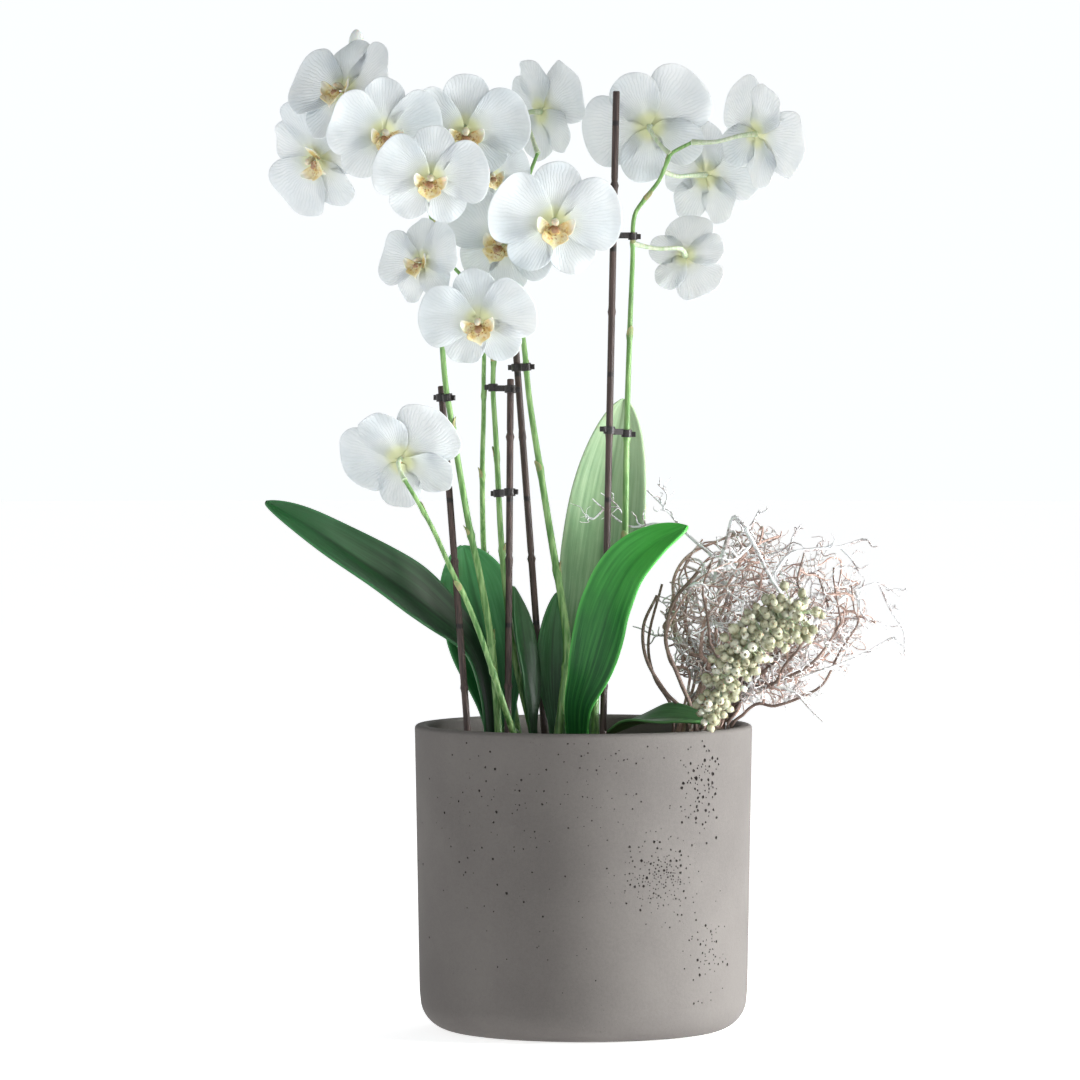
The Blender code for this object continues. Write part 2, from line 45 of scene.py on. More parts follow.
class Value:
    # a shader socket that takes part in sums, so a mask reads as an expression
    def __init__(self, paint, socket):
        self.paint = paint
        self.socket = socket

    def maths(self, operation, first, second=0.0, third=0.0):
        settings = {"operation": operation}
        return self.paint.node("ShaderNodeMath", settings, {0: first, 1: second, 2: third})

    def __add__(self, other):
        return self.maths("ADD", self, other)

    __radd__ = __add__

    def __sub__(self, other):
        return self.maths("SUBTRACT", self, other)

    def __rsub__(self, other):
        return self.maths("SUBTRACT", other, self)

    def __mul__(self, other):
        return self.maths("MULTIPLY", self, other)

    __rmul__ = __mul__

    def __truediv__(self, other):
        return self.maths("DIVIDE", self, other)

    def __pow__(self, other):
        return self.maths("POWER", self, other)

    def sine(self):
        return self.maths("SINE", self)

    def size(self):
        return self.maths("ABSOLUTE", self)

    def smooth(self, low, high):
        # 0 below low, 1 above high, eased between; low may be the larger
        values = {0: self, 1: low, 2: high, 3: 0.0, 4: 1.0}
        return self.paint.node("ShaderNodeMapRange", {"interpolation_type": "SMOOTHSTEP"}, values)


class Paint:
    # one Principled material and the nodes that feed it
    def __init__(self, name, **sockets):
        self.material = bpy.data.materials.new(name)
        self.material.use_nodes = True
        self.tree = self.material.node_tree
        self.shader = self.tree.nodes["Principled BSDF"]
        for label, value in sockets.items():
            self.shader.inputs[label.replace("_", " ").title().replace("Ior", "IOR")].default_value = value

    def node(self, kind, settings=None, values=None, out=0):
        made = self.tree.nodes.new(kind)
        for key, value in (settings or {}).items():
            setattr(made, key, value)
        for key, value in (values or {}).items():
            self.feed(made.inputs[key], value)
        return Value(self, made.outputs[out])

    def feed(self, socket, value):
        if isinstance(value, Value):
            self.tree.links.new(value.socket, socket)
        else:
            socket.default_value = value

    def place(self):
        return self.node("ShaderNodeTexCoord", out="Object")

    def uv(self):
        split = self.node("ShaderNodeSeparateXYZ", values={0: self.node("ShaderNodeTexCoord", out="UV")})
        return split, Value(self, split.socket.node.outputs[1])

    def height(self):
        return self.node("ShaderNodeSeparateXYZ", values={0: self.place()}, out=2)

    def noise(self, scale, detail=3.0, rough=0.55, at=None, twist=0.0):
        values = {"Vector": at or self.place(), "Scale": scale, "Detail": detail, "Roughness": rough,
                  "Distortion": twist}
        return self.node("ShaderNodeTexNoise", values=values)

    def stretched(self, scale):
        return self.node("ShaderNodeMapping", values={"Vector": self.place(), "Scale": scale})

    def cells(self, scale, at=None):
        return self.node("ShaderNodeTexVoronoi", values={"Vector": at or self.place(), "Scale": scale})

    def mix(self, factor, low, high):
        values = {0: factor, 6: low, 7: high}
        return self.node("ShaderNodeMix", {"data_type": "RGBA"}, values, out=2)

    def colour(self, value):
        self.feed(self.shader.inputs["Base Color"], value)

    def rough(self, value):
        self.feed(self.shader.inputs["Roughness"], value)

    def bump(self, height, distance, strength=1.0):
        values = {"Height": height, "Distance": distance, "Strength": strength}
        bumped = self.node("ShaderNodeBump", values=values)
        self.feed(self.shader.inputs["Normal"], bumped)


def rgb(red, green, blue):
    # a colour as it looks on screen, 0 to 255, as a linear value
    return (*[((c / 255 + 0.055) / 1.055) ** 2.4 if c > 10 else c / 3294 for c in (red, green, blue)], 1)


class Path:
    # a smooth curve through a few points, read by the share of its length
    def __init__(self, points, steps=12):
        knots = [Vector(p) for p in points]
        knots = [knots[0] * 2 - knots[1], *knots, knots[-1] * 2 - knots[-2]]
        self.points = []
        for before, start, end, after in zip(knots, knots[1:], knots[2:], knots[3:]):
            for step in range(steps):
                t = step / steps
                self.points.append(0.5 * (
                    2 * start + (end - before) * t + (2 * before - 5 * start + 4 * end - after) * t ** 2
                    + (3 * start - before - 3 * end + after) * t ** 3))
        self.points.append(knots[-2])
        self.runs = [0.0]
        for a, b in zip(self.points, self.points[1:]):
            self.runs.append(self.runs[-1] + (b - a).length)
        self.length = self.runs[-1]

    def at(self, share):
        goal = max(0.0, min(1.0, share)) * self.length
        i = next((i for i, run in enumerate(self.runs[1:]) if run >= goal), len(self.runs) - 2)
        span = max(self.runs[i + 1] - self.runs[i], 1e-9)
        return self.points[i].lerp(self.points[i + 1], (goal - self.runs[i]) / span)

    def heading(self, share):
        return (self.at(share + 0.01) - self.at(share - 0.01)).normalized()

    def nearest(self, point):
        i = min(range(len(self.points)), key=lambda i: (self.points[i] - point).length)
        return self.points[i], self.runs[i] / self.length


def finishPiece(name, bm, paints, replaced=(), smooth=True):
    # millimetres become metres here, and the piece joins the model's one body
    bmesh.ops.scale(bm, vec=(mm, mm, mm), verts=bm.verts)
    mesh = bpy.data.meshes.new(name)
    bm.to_mesh(mesh)
    bm.free()
    if smooth:
        mesh.shade_smooth()
    for paint in paints:
        mesh.materials.append(paint.material)
    piece = bpy.data.objects.new(name, mesh)
    bpy.context.scene.collection.objects.link(piece)
    join(piece, replaced)
    return piece


def join(piece, replaced=()):
    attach(piece, "root")
    if replaced:
        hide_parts(*replaced)


def thicken(piece, thickness, levels=1, under=0):
    thick = piece.modifiers.new("Thickness", "SOLIDIFY")
    thick.thickness = thickness * mm
    thick.offset = 0
    thick.material_offset = under
    if levels:
        soft = piece.modifiers.new("Smooth", "SUBSURF")
        soft.levels = levels
        soft.render_levels = levels


def strands(name, lines, paint, replaced=(), sides=6):
    # one curve object of round strands; each line is a list of (point, radius)
    curve = bpy.data.curves.new(name, "CURVE")
    curve.dimensions = "3D"
    curve.bevel_depth = mm
    curve.bevel_resolution = max(0, sides // 2 - 2)
    curve.use_fill_caps = True
    for line in lines:
        spline = curve.splines.new("POLY")
        spline.points.add(len(line) - 1)
        for knot, (point, radius) in zip(spline.points, line):
            knot.co = (*(point * mm), 1)
            knot.radius = radius
        spline.use_smooth = True
    curve.materials.append(paint.material)
    piece = bpy.data.objects.new(name, curve)
    bpy.context.scene.collection.objects.link(piece)
    join(piece, replaced)
    return piece


def disc(bm, cells):
    # a square grid bent into a round one, so its cells stay even and no pole pinches
    verts = bmesh.ops.create_grid(bm, x_segments=cells, y_segments=cells, size=1)["verts"]
    for vert in verts:
        x, y = vert.co.x, vert.co.y
        vert.co = (x * math.sqrt(1 - y * y / 2), y * math.sqrt(1 - x * x / 2), 0)
    return verts


def storeUv(bm, place):
    # keeps place(vert) as the piece's UV map
    layer = bm.loops.layers.uv.verify()
    for face in bm.faces:
        for loop in face.loops:
            loop[layer].uv = place(loop.vert)


tepals = [  # from the back: direction in degrees, length, half width, narrowing at the foot, cup, curl, lift
    {"turn": 90, "long": 42, "wide": 20, "foot": 0.30, "cup": 0.12, "curl": -0.10, "lift": -1.6},
    {"turn": -54, "long": 41, "wide": 19, "foot": 0.35, "cup": 0.14, "curl": -0.04, "lift": -1.8},
    {"turn": -126, "long": 41, "wide": 19, "foot": 0.35, "cup": 0.14, "curl": -0.04, "lift": -1.8},
    {"turn": 16, "long": 48, "wide": 32, "foot": 0.55, "cup": 0.06, "curl": 0.08, "lift": 0.8},
    {"turn": 164, "long": 48, "wide": 32, "foot": 0.55, "cup": 0.06, "curl": 0.08, "lift": 1.4},
]
petalLook = {"cells": 14, "thick": 0.7, "ruffle": 1.5, "wobble": 3.4, "uvSpan": 120}
lipLook = {"reach": 21, "wide": 10, "wing": 14, "thick": 0.9}

flowers = {  # centre, the way it looks, roll in degrees, size, the spike that carries it
    "flower_01": ((-177, -14, 694), (-0.60, -0.70, 0.35), 4, 0.98, "spike_far_left"),
    "flower_02": ((-199, 28, 645), (-0.55, -0.70, -0.35), 62, 0.98, "spike_far_left"),
    "flower_03": ((-147, -60, 662), (0.36, -0.90, -0.20), 0, 0.92, "spike_far_left"),
    "flower_04": ((-112, -74, 629), (0.02, -0.95, -0.25), -6, 0.88, "spike_far_left"),
    "flower_05": ((-87, -30, 665), (0.05, -0.90, -0.40), 0, 0.98, "spike_centre_left"),
    "flower_06": ((-68, -10, 632), (0.30, -0.90, -0.20), 10, 0.60, "spike_centre_left"),
    "flower_07": ((-30, 32, 680), (0.75, 0.60, 0.15), -12, 0.92, "spike_centre_right"),
    "flower_08": ((-22, -54, 597), (0.12, -0.95, -0.20), -4, 1.02, "spike_centre_right"),
    "flower_09": ((-119, -36, 568), (-0.60, -0.75, 0.10), 10, 0.76, "spike_back_left"),
    "flower_10": ((-77, -50, 525), (-0.10, -0.90, -0.32), 6, 0.90, "spike_back_left"),
    "flower_11": ((-134, -44, 424), (0.24, 0.80, 0.50), -24, 1.00, "spike_low_left"),
    "flower_12": ((49, 14, 669), (0.00, 0.95, 0.25), -26, 1.02, "spike_right"),
    "flower_13": ((92, 30, 633), (0.66, 0.74, 0.05), 6, 0.94, "spike_right"),
    "flower_14": ((128, -22, 662), (0.76, 0.60, 0.10), 34, 0.94, "spike_right"),
    "flower_15": ((76, 10, 572), (0.30, 0.85, -0.35), 72, 0.70, "spike_right"),
    "flower_16": ((-60, -26, 582), (-0.30, -0.85, -0.10), -25, 0.88, "spike_centre_left"),
}


def petalPaint():
    # cool white with patches of painted blue-grey shade, faintly veined, with a green glow round the throat
    paint = Paint("petalWhite", roughness=0.55, specular_ior_level=0.3, subsurface_weight=0.45,
                  subsurface_scale=0.006, sheen_weight=0.1)
    paint.shader.inputs["Subsurface Radius"].default_value = (1.0, 0.95, 0.85)
    across, up = paint.uv()
    x, y = (across - 0.5) * petalLook["uvSpan"], (up - 0.5) * petalLook["uvSpan"]
    reach = (x * x + y * y) ** 0.5
    angle = paint.node("ShaderNodeMath", {"operation": "ARCTAN2"}, {0: y, 1: x})
    wander = paint.noise(90, 2.0)
    veins = (angle * 44 + wander * 7).sine().size().smooth(0.7, 1.0)
    veins = veins * reach.smooth(6, 16) * reach.smooth(54, 34)
    # the blue-grey second tone, mixed in by noise, is painted shade: the colour of the petals' shaded side laid over
    # the white
    body = paint.mix(paint.noise(24, 3.0).smooth(0.3, 0.7), rgb(230, 235, 237), rgb(208, 217, 222))
    veined = paint.mix(veins * 0.22, body, rgb(186, 198, 202))
    hollow = paint.mix(reach.smooth(26, 9) * 0.6, veined, rgb(214, 222, 200))
    paint.colour(paint.mix(reach.smooth(15, 6) * 0.8, hollow, rgb(222, 226, 160)))
    paint.bump(veins * -0.5 + paint.noise(160, 3.0) * 0.6, 0.0006, 0.6)
    return paint


def lipPaint():
    # pale gold, red-brown in the throat, white at the tips
    paint = Paint("lipGold", roughness=0.45, subsurface_weight=0.2, subsurface_scale=0.003)
    across, up = paint.uv()
    x, y = (across - 0.5) * petalLook["uvSpan"], (up - 0.5) * petalLook["uvSpan"] + 4
    reach = (x * x + y * y) ** 0.5
    mottle = paint.noise(200, 3.0)
    gold = paint.mix(mottle.smooth(0.35, 0.65), rgb(238, 230, 190), rgb(222, 200, 128))
    spots = paint.cells(520).smooth(0.45, 0.25) * reach.smooth(12, 5) * 0.8
    spotted = paint.mix(spots, gold, rgb(170, 112, 56))
    throat = (reach + mottle * 4).smooth(6.6, 3.8) * 0.8
    throated = paint.mix(throat, spotted, rgb(140, 84, 60))
    paint.colour(paint.mix((reach + mottle * 6).smooth(13, 18), throated, rgb(242, 243, 232)))
    paint.bump(mottle, 0.0004, 0.5)
    return paint


def columnPaint():
    paint = Paint("columnWhite", roughness=0.35, subsurface_weight=0.2, subsurface_scale=0.003)
    tint = paint.noise(300, 2.0).smooth(0.4, 0.7)
    paint.colour(paint.mix(tint, rgb(226, 222, 200), rgb(206, 186, 150)))
    paint.bump(paint.noise(500), 0.0003, 0.4)
    return paint


def stalkPaint():
    paint = Paint("stalkGreen", roughness=0.45, subsurface_weight=0.1, subsurface_scale=0.002)
    streak = paint.noise(1.0, 3.0, at=paint.stretched((500, 500, 60)))
    paint.colour(paint.mix(streak.smooth(0.3, 0.7), rgb(190, 210, 168), rgb(222, 230, 208)))
    paint.bump(streak, 0.0003, 0.4)
    return paint


def addTepal(bm, tepal, seed):
    # one sepal or petal, flat in the flower's own frame, then cupped, curled and ruffled
    verts = disc(bm, petalLook["cells"])
    spin = Matrix.Rotation(math.radians(tepal["turn"] - 90), 3, "Z")
    for vert in verts:
        u, v = vert.co.x, vert.co.y
        share = (v + 1) / 2
        edge = min(1.0, math.hypot(u, v))
        narrow = 1 - tepal["foot"] * (1 - share) ** 1.6
        x = u * tepal["wide"] * narrow
        y = 1.5 + share * tepal["long"]
        z = tepal["lift"] + tepal["cup"] * x * x / tepal["wide"] + tepal["curl"] * share * share * tepal["long"]
        z += petalLook["ruffle"] * edge ** 3 * math.sin(5 * math.atan2(v, u) + seed)
        z += petalLook["wobble"] * noise.noise(Vector((x / 22, y / 22, seed * 3.7)))
        z -= 0.8 * math.exp(-(x / 3) ** 2) * (1 - share)
        vert.co = spin @ Vector((x, y, z))


def addLip(bm, seed):
    reach, wide, wing = lipLook["reach"], lipLook["wide"], lipLook["wing"]
    for vert in disc(bm, 12):  # the middle lobe: broad shoulders, then a narrow tip, scooped and bent forward
        u, v = vert.co.x, vert.co.y
        share = (v + 1) / 2
        half = wide * (0.55 + 0.65 * math.sin(math.pi * min(1, share * 1.2)) - 0.45 * share)
        x = u * max(half, 2.0)
        vert.co = (x, -2 - share * reach * 0.8, 2.5 + 9 * math.sin(share * 2.0) + 0.045 * x * x)
    for side in (-1, 1):  # the side lobes stand out, round and cupped, on either side of the column
        for vert in disc(bm, 10):
            u, v = vert.co.x, vert.co.y
            share = (v + 1) / 2
            bend = share * 1.35
            out = 2.6 + wing * 0.82 * math.sin(bend) - 0.8 * u * u
            rise = -4 + wing * 0.5 * (1 - math.cos(bend)) + u * (4.5 + 2.5 * share)
            ruffle = 0.6 * math.sin(6 * u + seed) * share
            vert.co = (side * out, rise, 2.6 + wing * 0.62 * share + 1.4 * u * u + ruffle)
    callus = bmesh.ops.create_icosphere(bm, subdivisions=2, radius=1)["verts"]
    for vert in callus:
        x, y, z = vert.co
        vert.co = (x * 3.8, y * 2.8 - 5.5, 8.0 + z * 2.6 + 0.9 * abs(x))


def addColumn(bm):
    verts = bmesh.ops.create_uvsphere(bm, u_segments=16, v_segments=10, radius=1)["verts"]
    for vert in verts:
        x, y, z = vert.co
        swell = 1 + 0.25 * max(z, 0) - 0.18 * max(-z, 0)
        vert.co = (x * 2.8 * swell, y * 2.5 * swell + 1.2 - 0.8 * z * z, 5.5 + z * 6)


def lookTurn(looks, roll):
    ahead = Vector(looks).normalized()
    right = Vector((0, 0, 1)).cross(ahead).normalized()
    level = Matrix((right, ahead.cross(right), ahead)).transposed()
    return level @ Matrix.Rotation(math.radians(roll), 3, "Z")


def stalkLine(centre, back, spike):
    # from the spike, out and up, into the back of the flower
    joint, share = spikePaths[spike].nearest(centre + back * 30)
    bow = (centre - joint).length * 0.35
    middle = joint.lerp(centre + back * bow, 0.5) + Vector((0, 0, -2))
    path = Path([joint, middle, centre + back * bow, centre + back * 1.0])
    count = 14
    return [(path.at(i / count), 1.5 + 0.9 * (i / count) ** 4 + 0.8 * (1 - i / count) ** 6) for i in range(count + 1)]


def buildFlowers():
    white, yellow, pale, green = petalPaint(), lipPaint(), columnPaint(), stalkPaint()
    for index, (name, (centre, looks, roll, size, spike)) in enumerate(flowers.items()):
        centre = Vector(centre)
        turn = lookTurn(looks, roll)
        place = Matrix.Translation(centre) @ turn.to_4x4() @ Matrix.Scale(size, 4)
        petals, lip, column = bmesh.new(), bmesh.new(), bmesh.new()
        for number, tepal in enumerate(tepals):
            addTepal(petals, tepal, index * 1.7 + number * 2.3)
        addLip(lip, index)
        addColumn(column)
        for bm in (petals, lip, column):
            storeUv(bm, lambda vert: (0.5 + vert.co.x / petalLook["uvSpan"], 0.5 + vert.co.y / petalLook["uvSpan"]))
            bmesh.ops.transform(bm, matrix=place, verts=bm.verts)
        thicken(finishPiece(f"{name}_petals", petals, [white], [name]), petalLook["thick"] * size)
        thicken(finishPiece(f"{name}_lip", lip, [yellow]), lipLook["thick"] * size)
        finishPiece(f"{name}_column", column, [pale])
        back = turn @ Vector((0, 0, -1))
        strands(f"{name}_stalk", [stalkLine(centre, back, spike)], green, sides=8)
    print("flowers done")


leafLook = {"thick": 2.2, "along": 40, "across": 12, "channel": 0.30}
leaves = {  # midrib, half width, which way the upper face looks at foot and tip, sharpness, colours
    "leaf_left_long": {
        "route": [(-70, -7, 214), (-73, -6, 246), (-84, -5, 283), (-114, -12, 311),
                  (-157, -24, 342), (-200, -35, 371), (-234, -42, 391)],
        "half": 27, "faces": [(0.8, -0.4, 0.5), (0.35, -0.75, 0.55)], "tip": 1.35,
        "deep": (4, 44, 16), "bright": (14, 76, 28), "under": (70, 136, 72), "rib": 0.35, "edge": 0.8,
    },
    "leaf_left_round": {
        "route": [(-62, 15, 214), (-68, 24, 258), (-78, 31, 305), (-90, 36, 357)],
        "half": 31, "faces": [(0.2, -0.95, 0.2), (0.2, -0.95, 0.3)], "tip": 3.0,
        "deep": (18, 92, 42), "bright": (70, 148, 84), "under": (96, 152, 96), "rib": 0.4, "edge": 0.4,
    },
    "leaf_left_narrow": {
        "route": [(-38, -7, 214), (-40, -7, 250), (-45, -7, 290), (-52, -5, 328)],
        "half": 13, "faces": [(0.8, -0.6, 0.1), (0.8, -0.6, 0.2)], "tip": 1.6,
        "deep": (8, 48, 16), "bright": (26, 80, 32), "under": (52, 112, 52), "rib": 0.3, "edge": 0.4,
    },
    "leaf_middle_small": {
        "route": [(-20, 8, 214), (-23, 9, 250), (-23, 9, 285), (-19, 7, 323)],
        "half": 12, "faces": [(0.0, -1.0, 0.05), (0.0, -1.0, 0.1)], "tip": 1.8,
        "deep": (14, 66, 28), "bright": (60, 120, 66), "under": (80, 140, 80), "rib": 0.3, "edge": 0.4,
    },
    "leaf_right_tall": {
        "route": [(-5, 23, 214), (0, 36, 280), (11, 50, 330), (19, 60, 392), (26, 64, 435), (31, 66, 466)],
        "half": 31, "faces": [(0.0, -1.0, 0.1), (0.0, -1.0, 0.1)], "tip": 2.4,
        "deep": (78, 128, 78), "bright": (164, 190, 150), "under": (140, 182, 128), "rib": 0.3, "edge": 0.5,
    },
    "leaf_right_bright": {
        "route": [(-4, -14, 214), (-3, -25, 240), (5, -37, 264), (13, -46, 292), (21, -54, 318),
                  (34, -60, 343), (54, -66, 362), (76, -70, 374)],
        "half": 25, "faces": [(-0.3, -0.9, 0.2), (-0.5, -0.6, 0.6)], "tip": 2.4,
        "deep": (6, 86, 34), "bright": (66, 176, 62), "under": (104, 176, 84), "rib": 0.12, "edge": 0.7,
    },
    "leaf_right_low": {
        "route": [(13, 10, 212), (27, -12, 222), (48, -38, 231), (72, -56, 233), (94, -66, 231)],
        "half": 19, "faces": [(-0.1, -0.3, 0.9), (0.0, -0.35, 0.93)], "tip": 2.2,
        "deep": (30, 92, 38), "bright": (70, 126, 62), "under": (80, 130, 80), "rib": 0.3, "edge": 0.5,
    },
}


def leafPaint(name, low, high, rib, edge):
    # colour runs from the foot (UV up = 0) to the tip, with a darker midrib, soft streaks and a pale margin
    paint = Paint(name, roughness=0.45, specular_ior_level=0.4, subsurface_weight=0.06, subsurface_scale=0.004,
                  coat_weight=0.08, coat_roughness=0.35)
    across, up = paint.uv()
    off = (across - 0.5).size() * 2
    patch = paint.noise(20, 3.0)
    run = (up * 1.15 + patch * 0.6 - 0.4).smooth(0.05, 1.0)
    body = paint.mix(run, rgb(*low), rgb(*high))
    lanes = paint.node("ShaderNodeCombineXYZ", values={0: across * 15, 1: up * 2.6})
    streak = paint.noise(1.0, 4.0, 0.6, at=lanes)
    body = paint.mix(streak.smooth(0.42, 0.72) * 0.3, body, rgb(*[min(255, c + 34) for c in high]))
    body = paint.mix(streak.smooth(0.5, 0.25) * 0.35, body, rgb(*[c * 0.75 for c in low]))
    speck = paint.noise(700, 4.0, 0.7).smooth(0.58, 0.75) * 0.12
    body = paint.mix(speck, body, rgb(*[min(255, c + 40) for c in high]))
    body = paint.mix(off.smooth(0.10, 0.0) * rib, body, rgb(*[c * 0.55 for c in low]))
    paint.colour(paint.mix(off.smooth(0.86, 1.0) * edge, body, rgb(*[min(255, c + 40) for c in high])))
    paint.rough(0.40 + patch * 0.16)
    paint.bump(streak * 0.5 + paint.noise(150) * 0.6, 0.0006, 0.5)
    return paint


def leafWidth(share, tip):
    rise = min(share / 0.55, 1)
    foot = 0.36 + 0.64 * rise * rise * (3 - 2 * rise)
    end = max(0.0, (share - 0.5) / 0.5)
    return max(foot * (1 - end ** tip) ** 0.6, 0.03)


def buildLeaves():
    for number, (name, leaf) in enumerate(leaves.items()):
        path = Path(leaf["route"])
        footFace, tipFace = [Vector(v).normalized() for v in leaf["faces"]]
        bm = bmesh.new()
        bmesh.ops.create_grid(bm, x_segments=leafLook["across"], y_segments=leafLook["along"], size=1)
        storeUv(bm, lambda vert: ((vert.co.x + 1) / 2, (vert.co.y + 1) / 2))
        for vert in bm.verts:
            side, share = vert.co.x, (vert.co.y + 1) / 2
            share = 1 - (1 - share) ** 1.5
            along = path.heading(share)
            across = along.cross(footFace.lerp(tipFace, share)).normalized()
            up = across.cross(along)
            half = leaf["half"] * leafWidth(share, leaf["tip"])
            lift = abs(side) ** 1.5 * half * leafLook["channel"]
            lift += 1.6 * noise.noise(Vector((share * 4, side * 1.2, number * 5.1))) * min(1, share * 3)
            lift += 1.0 * abs(side) ** 3 * math.sin(share * 14 + number + side)
            vert.co = path.at(share) + across * side * half + up * lift
        bmesh.ops.recalc_face_normals(bm, faces=bm.faces)
        upper = leafPaint(f"{name}Upper", leaf["deep"], leaf["bright"], leaf["rib"], leaf["edge"])
        under = leafPaint(f"{name}Under", [c * 0.8 for c in leaf["under"]], leaf["under"], 0.3, 0.3)
        piece = finishPiece(f"{name}_blade", bm, [upper, under], [name])
        thicken(piece, leafLook["thick"], under=1)
    print("leaves done")


spikes = {  # route, radius at foot and tip, where the joints with their bracts are
    "spike_far_left": {
        "route": [(-62, -19, 205), (-64, -21, 241), (-68, -28, 287), (-76, -31, 335), (-84, -33, 372),
                  (-92, -32, 418), (-98, -31, 455), (-102, -30, 481), (-105, -26, 518), (-108, -20, 551),
                  (-110, -14, 584), (-115, -10, 612), (-127, -6, 641), (-145, 0, 673), (-160, 5, 696),
                  (-168, 8, 716)],
        "radius": (3.0, 1.3), "joints": (0.16, 0.31, 0.46, 0.61, 0.74, 0.84, 0.93),
    },
    "spike_low_left": {
        "route": [(-46, -28, 205), (-58, -42, 240), (-72, -49, 283), (-85, -53, 317), (-97, -55, 342),
                  (-110, -57, 371), (-122, -59, 393), (-131, -61, 408)],
        "radius": (2.6, 1.5), "joints": (0.3, 0.6, 0.88),
    },
    "spike_back_left": {
        "route": [(-46, 24, 205), (-58, 46, 270), (-70, 54, 320), (-74, 51, 350), (-75, 36, 382),
                  (-75, 24, 420), (-74, 18, 455), (-74, 13, 480), (-74, 3, 510), (-79, -7, 538),
                  (-89, -13, 556), (-98, -14, 566)],
        "radius": (2.7, 1.3), "joints": (0.2, 0.38, 0.56, 0.72, 0.86),
    },
    "spike_centre_left": {
        "route": [(-34, 8, 205), (-50, 6, 270), (-57, 4, 320), (-61, 3, 363), (-63, 3, 400),
                  (-65, 4, 440), (-67, 6, 475), (-66, 9, 510), (-66, 12, 547), (-71, 10, 584),
                  (-76, 6, 605), (-83, 1, 625), (-89, -2, 641)],
        "radius": (2.8, 1.3), "joints": (0.18, 0.34, 0.5, 0.66, 0.8, 0.92),
    },
    "spike_centre_right": {
        "route": [(-21, -6, 205), (-16, -6, 240), (-12, -5, 281), (-16, -2, 317), (-23, 2, 358),
                  (-32, 4, 414), (-40, 3, 466), (-44, 1, 506), (-49, -1, 540), (-51, -4, 577),
                  (-48, -5, 606), (-40, -3, 632), (-34, 0, 648)],
        "radius": (3.4, 1.3), "joints": (0.14, 0.3, 0.47, 0.64, 0.78, 0.9),
    },
    "spike_right": {
        "route": [(9, -8, 205), (9, -4, 248), (17, -6, 282), (25, -10, 319), (30, -12, 356),
                  (31, -13, 393), (32, -14, 452), (34, -14, 518), (36, -14, 569), (37, -14, 600),
                  (45, -14, 614), (55, -15, 627), (60, -16, 638), (64, -15, 647), (72, -13, 652),
                  (80, -12, 656)],
        "radius": (3.2, 1.3), "joints": (0.17, 0.34, 0.5, 0.66, 0.805, 0.88, 0.95),
    },
}
spikePaths = {name: Path(spike["route"]) for name, spike in spikes.items()}


def stemPaint():
    paint = Paint("stemGreen", roughness=0.42, subsurface_weight=0.05, subsurface_scale=0.002)
    rise = paint.height().smooth(0.2, 0.62)
    streak = paint.noise(1.0, 3.0, at=paint.stretched((420, 420, 40)))
    body = paint.mix(rise, rgb(62, 118, 48), rgb(112, 160, 84))
    body = paint.mix(streak.smooth(0.35, 0.7), body, rgb(150, 190, 120))
    blush = paint.noise(34, 2.0).smooth(0.55, 0.75) * 0.4
    paint.colour(paint.mix(blush, body, rgb(64, 84, 48)))
    paint.bump(streak, 0.0004, 0.5)
    return paint


def bractPaint():
    paint = Paint("bractTan", roughness=0.6)
    grain = paint.noise(1.0, 3.0, at=paint.stretched((300, 300, 60)))
    paint.colour(paint.mix(grain.smooth(0.35, 0.65), rgb(124, 150, 92), rgb(176, 164, 118)))
    paint.bump(grain, 0.0004, 0.5)
    return paint


def stemLine(spike, path):
    # the stem swells a little where each bract sits
    count = round(path.length / 4)
    low, high = spike["radius"]
    line = []
    for i in range(count + 1):
        share = i / count
        swell = sum(0.35 * math.exp(-((share - joint) * path.length / 2.6) ** 2) for joint in spike["joints"])
        line.append((path.at(share), (low + (high - low) * share) * (1 + swell)))
    return line


def addBract(bm, at, heading, radius, turn):
    # a small pointed scale that wraps the stem above its joint
    verts = disc(bm, 6)
    frameTurn = heading.to_track_quat("Z", "Y").to_matrix() @ Matrix.Rotation(turn, 3, "Z")
    for vert in verts:
        u, v = vert.co.x, vert.co.y
        share = (v + 1) / 2
        bend = u * 1.9 * (1 - share) ** 0.6
        lean = radius + 0.35 + 1.4 * share ** 3
        vert.co = at + frameTurn @ Vector((lean * math.sin(bend), lean * math.cos(bend), share * 9 - 1))


def buildSpikes():
    green, tan = stemPaint(), bractPaint()
    for index, (name, spike) in enumerate(spikes.items()):
        path = spikePaths[name]
        strands(f"{name}_stem", [stemLine(spike, path)], green, [name], sides=12)
        low, high = spike["radius"]
        bm = bmesh.new()
        for number, share in enumerate(spike["joints"]):
            addBract(bm, path.at(share), path.heading(share), low + (high - low) * share, index + number * math.pi)
        thicken(finishPiece(f"{name}_bracts", bm, [tan]), 0.6)
    print("spikes done")


crowns = {"crown_left": (-54, -4), "crown_right": (-6, 6)}


def buildCrowns():
    green = leafPaint("crownGreen", (34, 84, 38), (84, 130, 70), 0.1, 0.3)
    for name, (x, y) in crowns.items():
        bm = bmesh.new()
        for number in range(5):  # old leaf feet, each wrapped round the next
            verts = bmesh.ops.create_uvsphere(bm, u_segments=20, v_segments=12, radius=1)["verts"]
            turn = Matrix.Rotation(number * 2.4, 3, "Z")
            for vert in verts:
                px, py, pz = vert.co
                vert.co = turn @ Vector((px * 6.5 + 3.0 - 0.4 * number, py * 7.5, pz * 10)) + Vector((x, y, 207 + 2.2 * number))
        storeUv(bm, lambda vert: (vert.co.x / 20 % 1, (vert.co.z - 195) / 40))
        finishPiece(f"{name}_sheaths", bm, [green], [name])
    print("crowns done")


budLook = {"centre": (-168, 10, 730), "long": 20, "wide": 11.5}


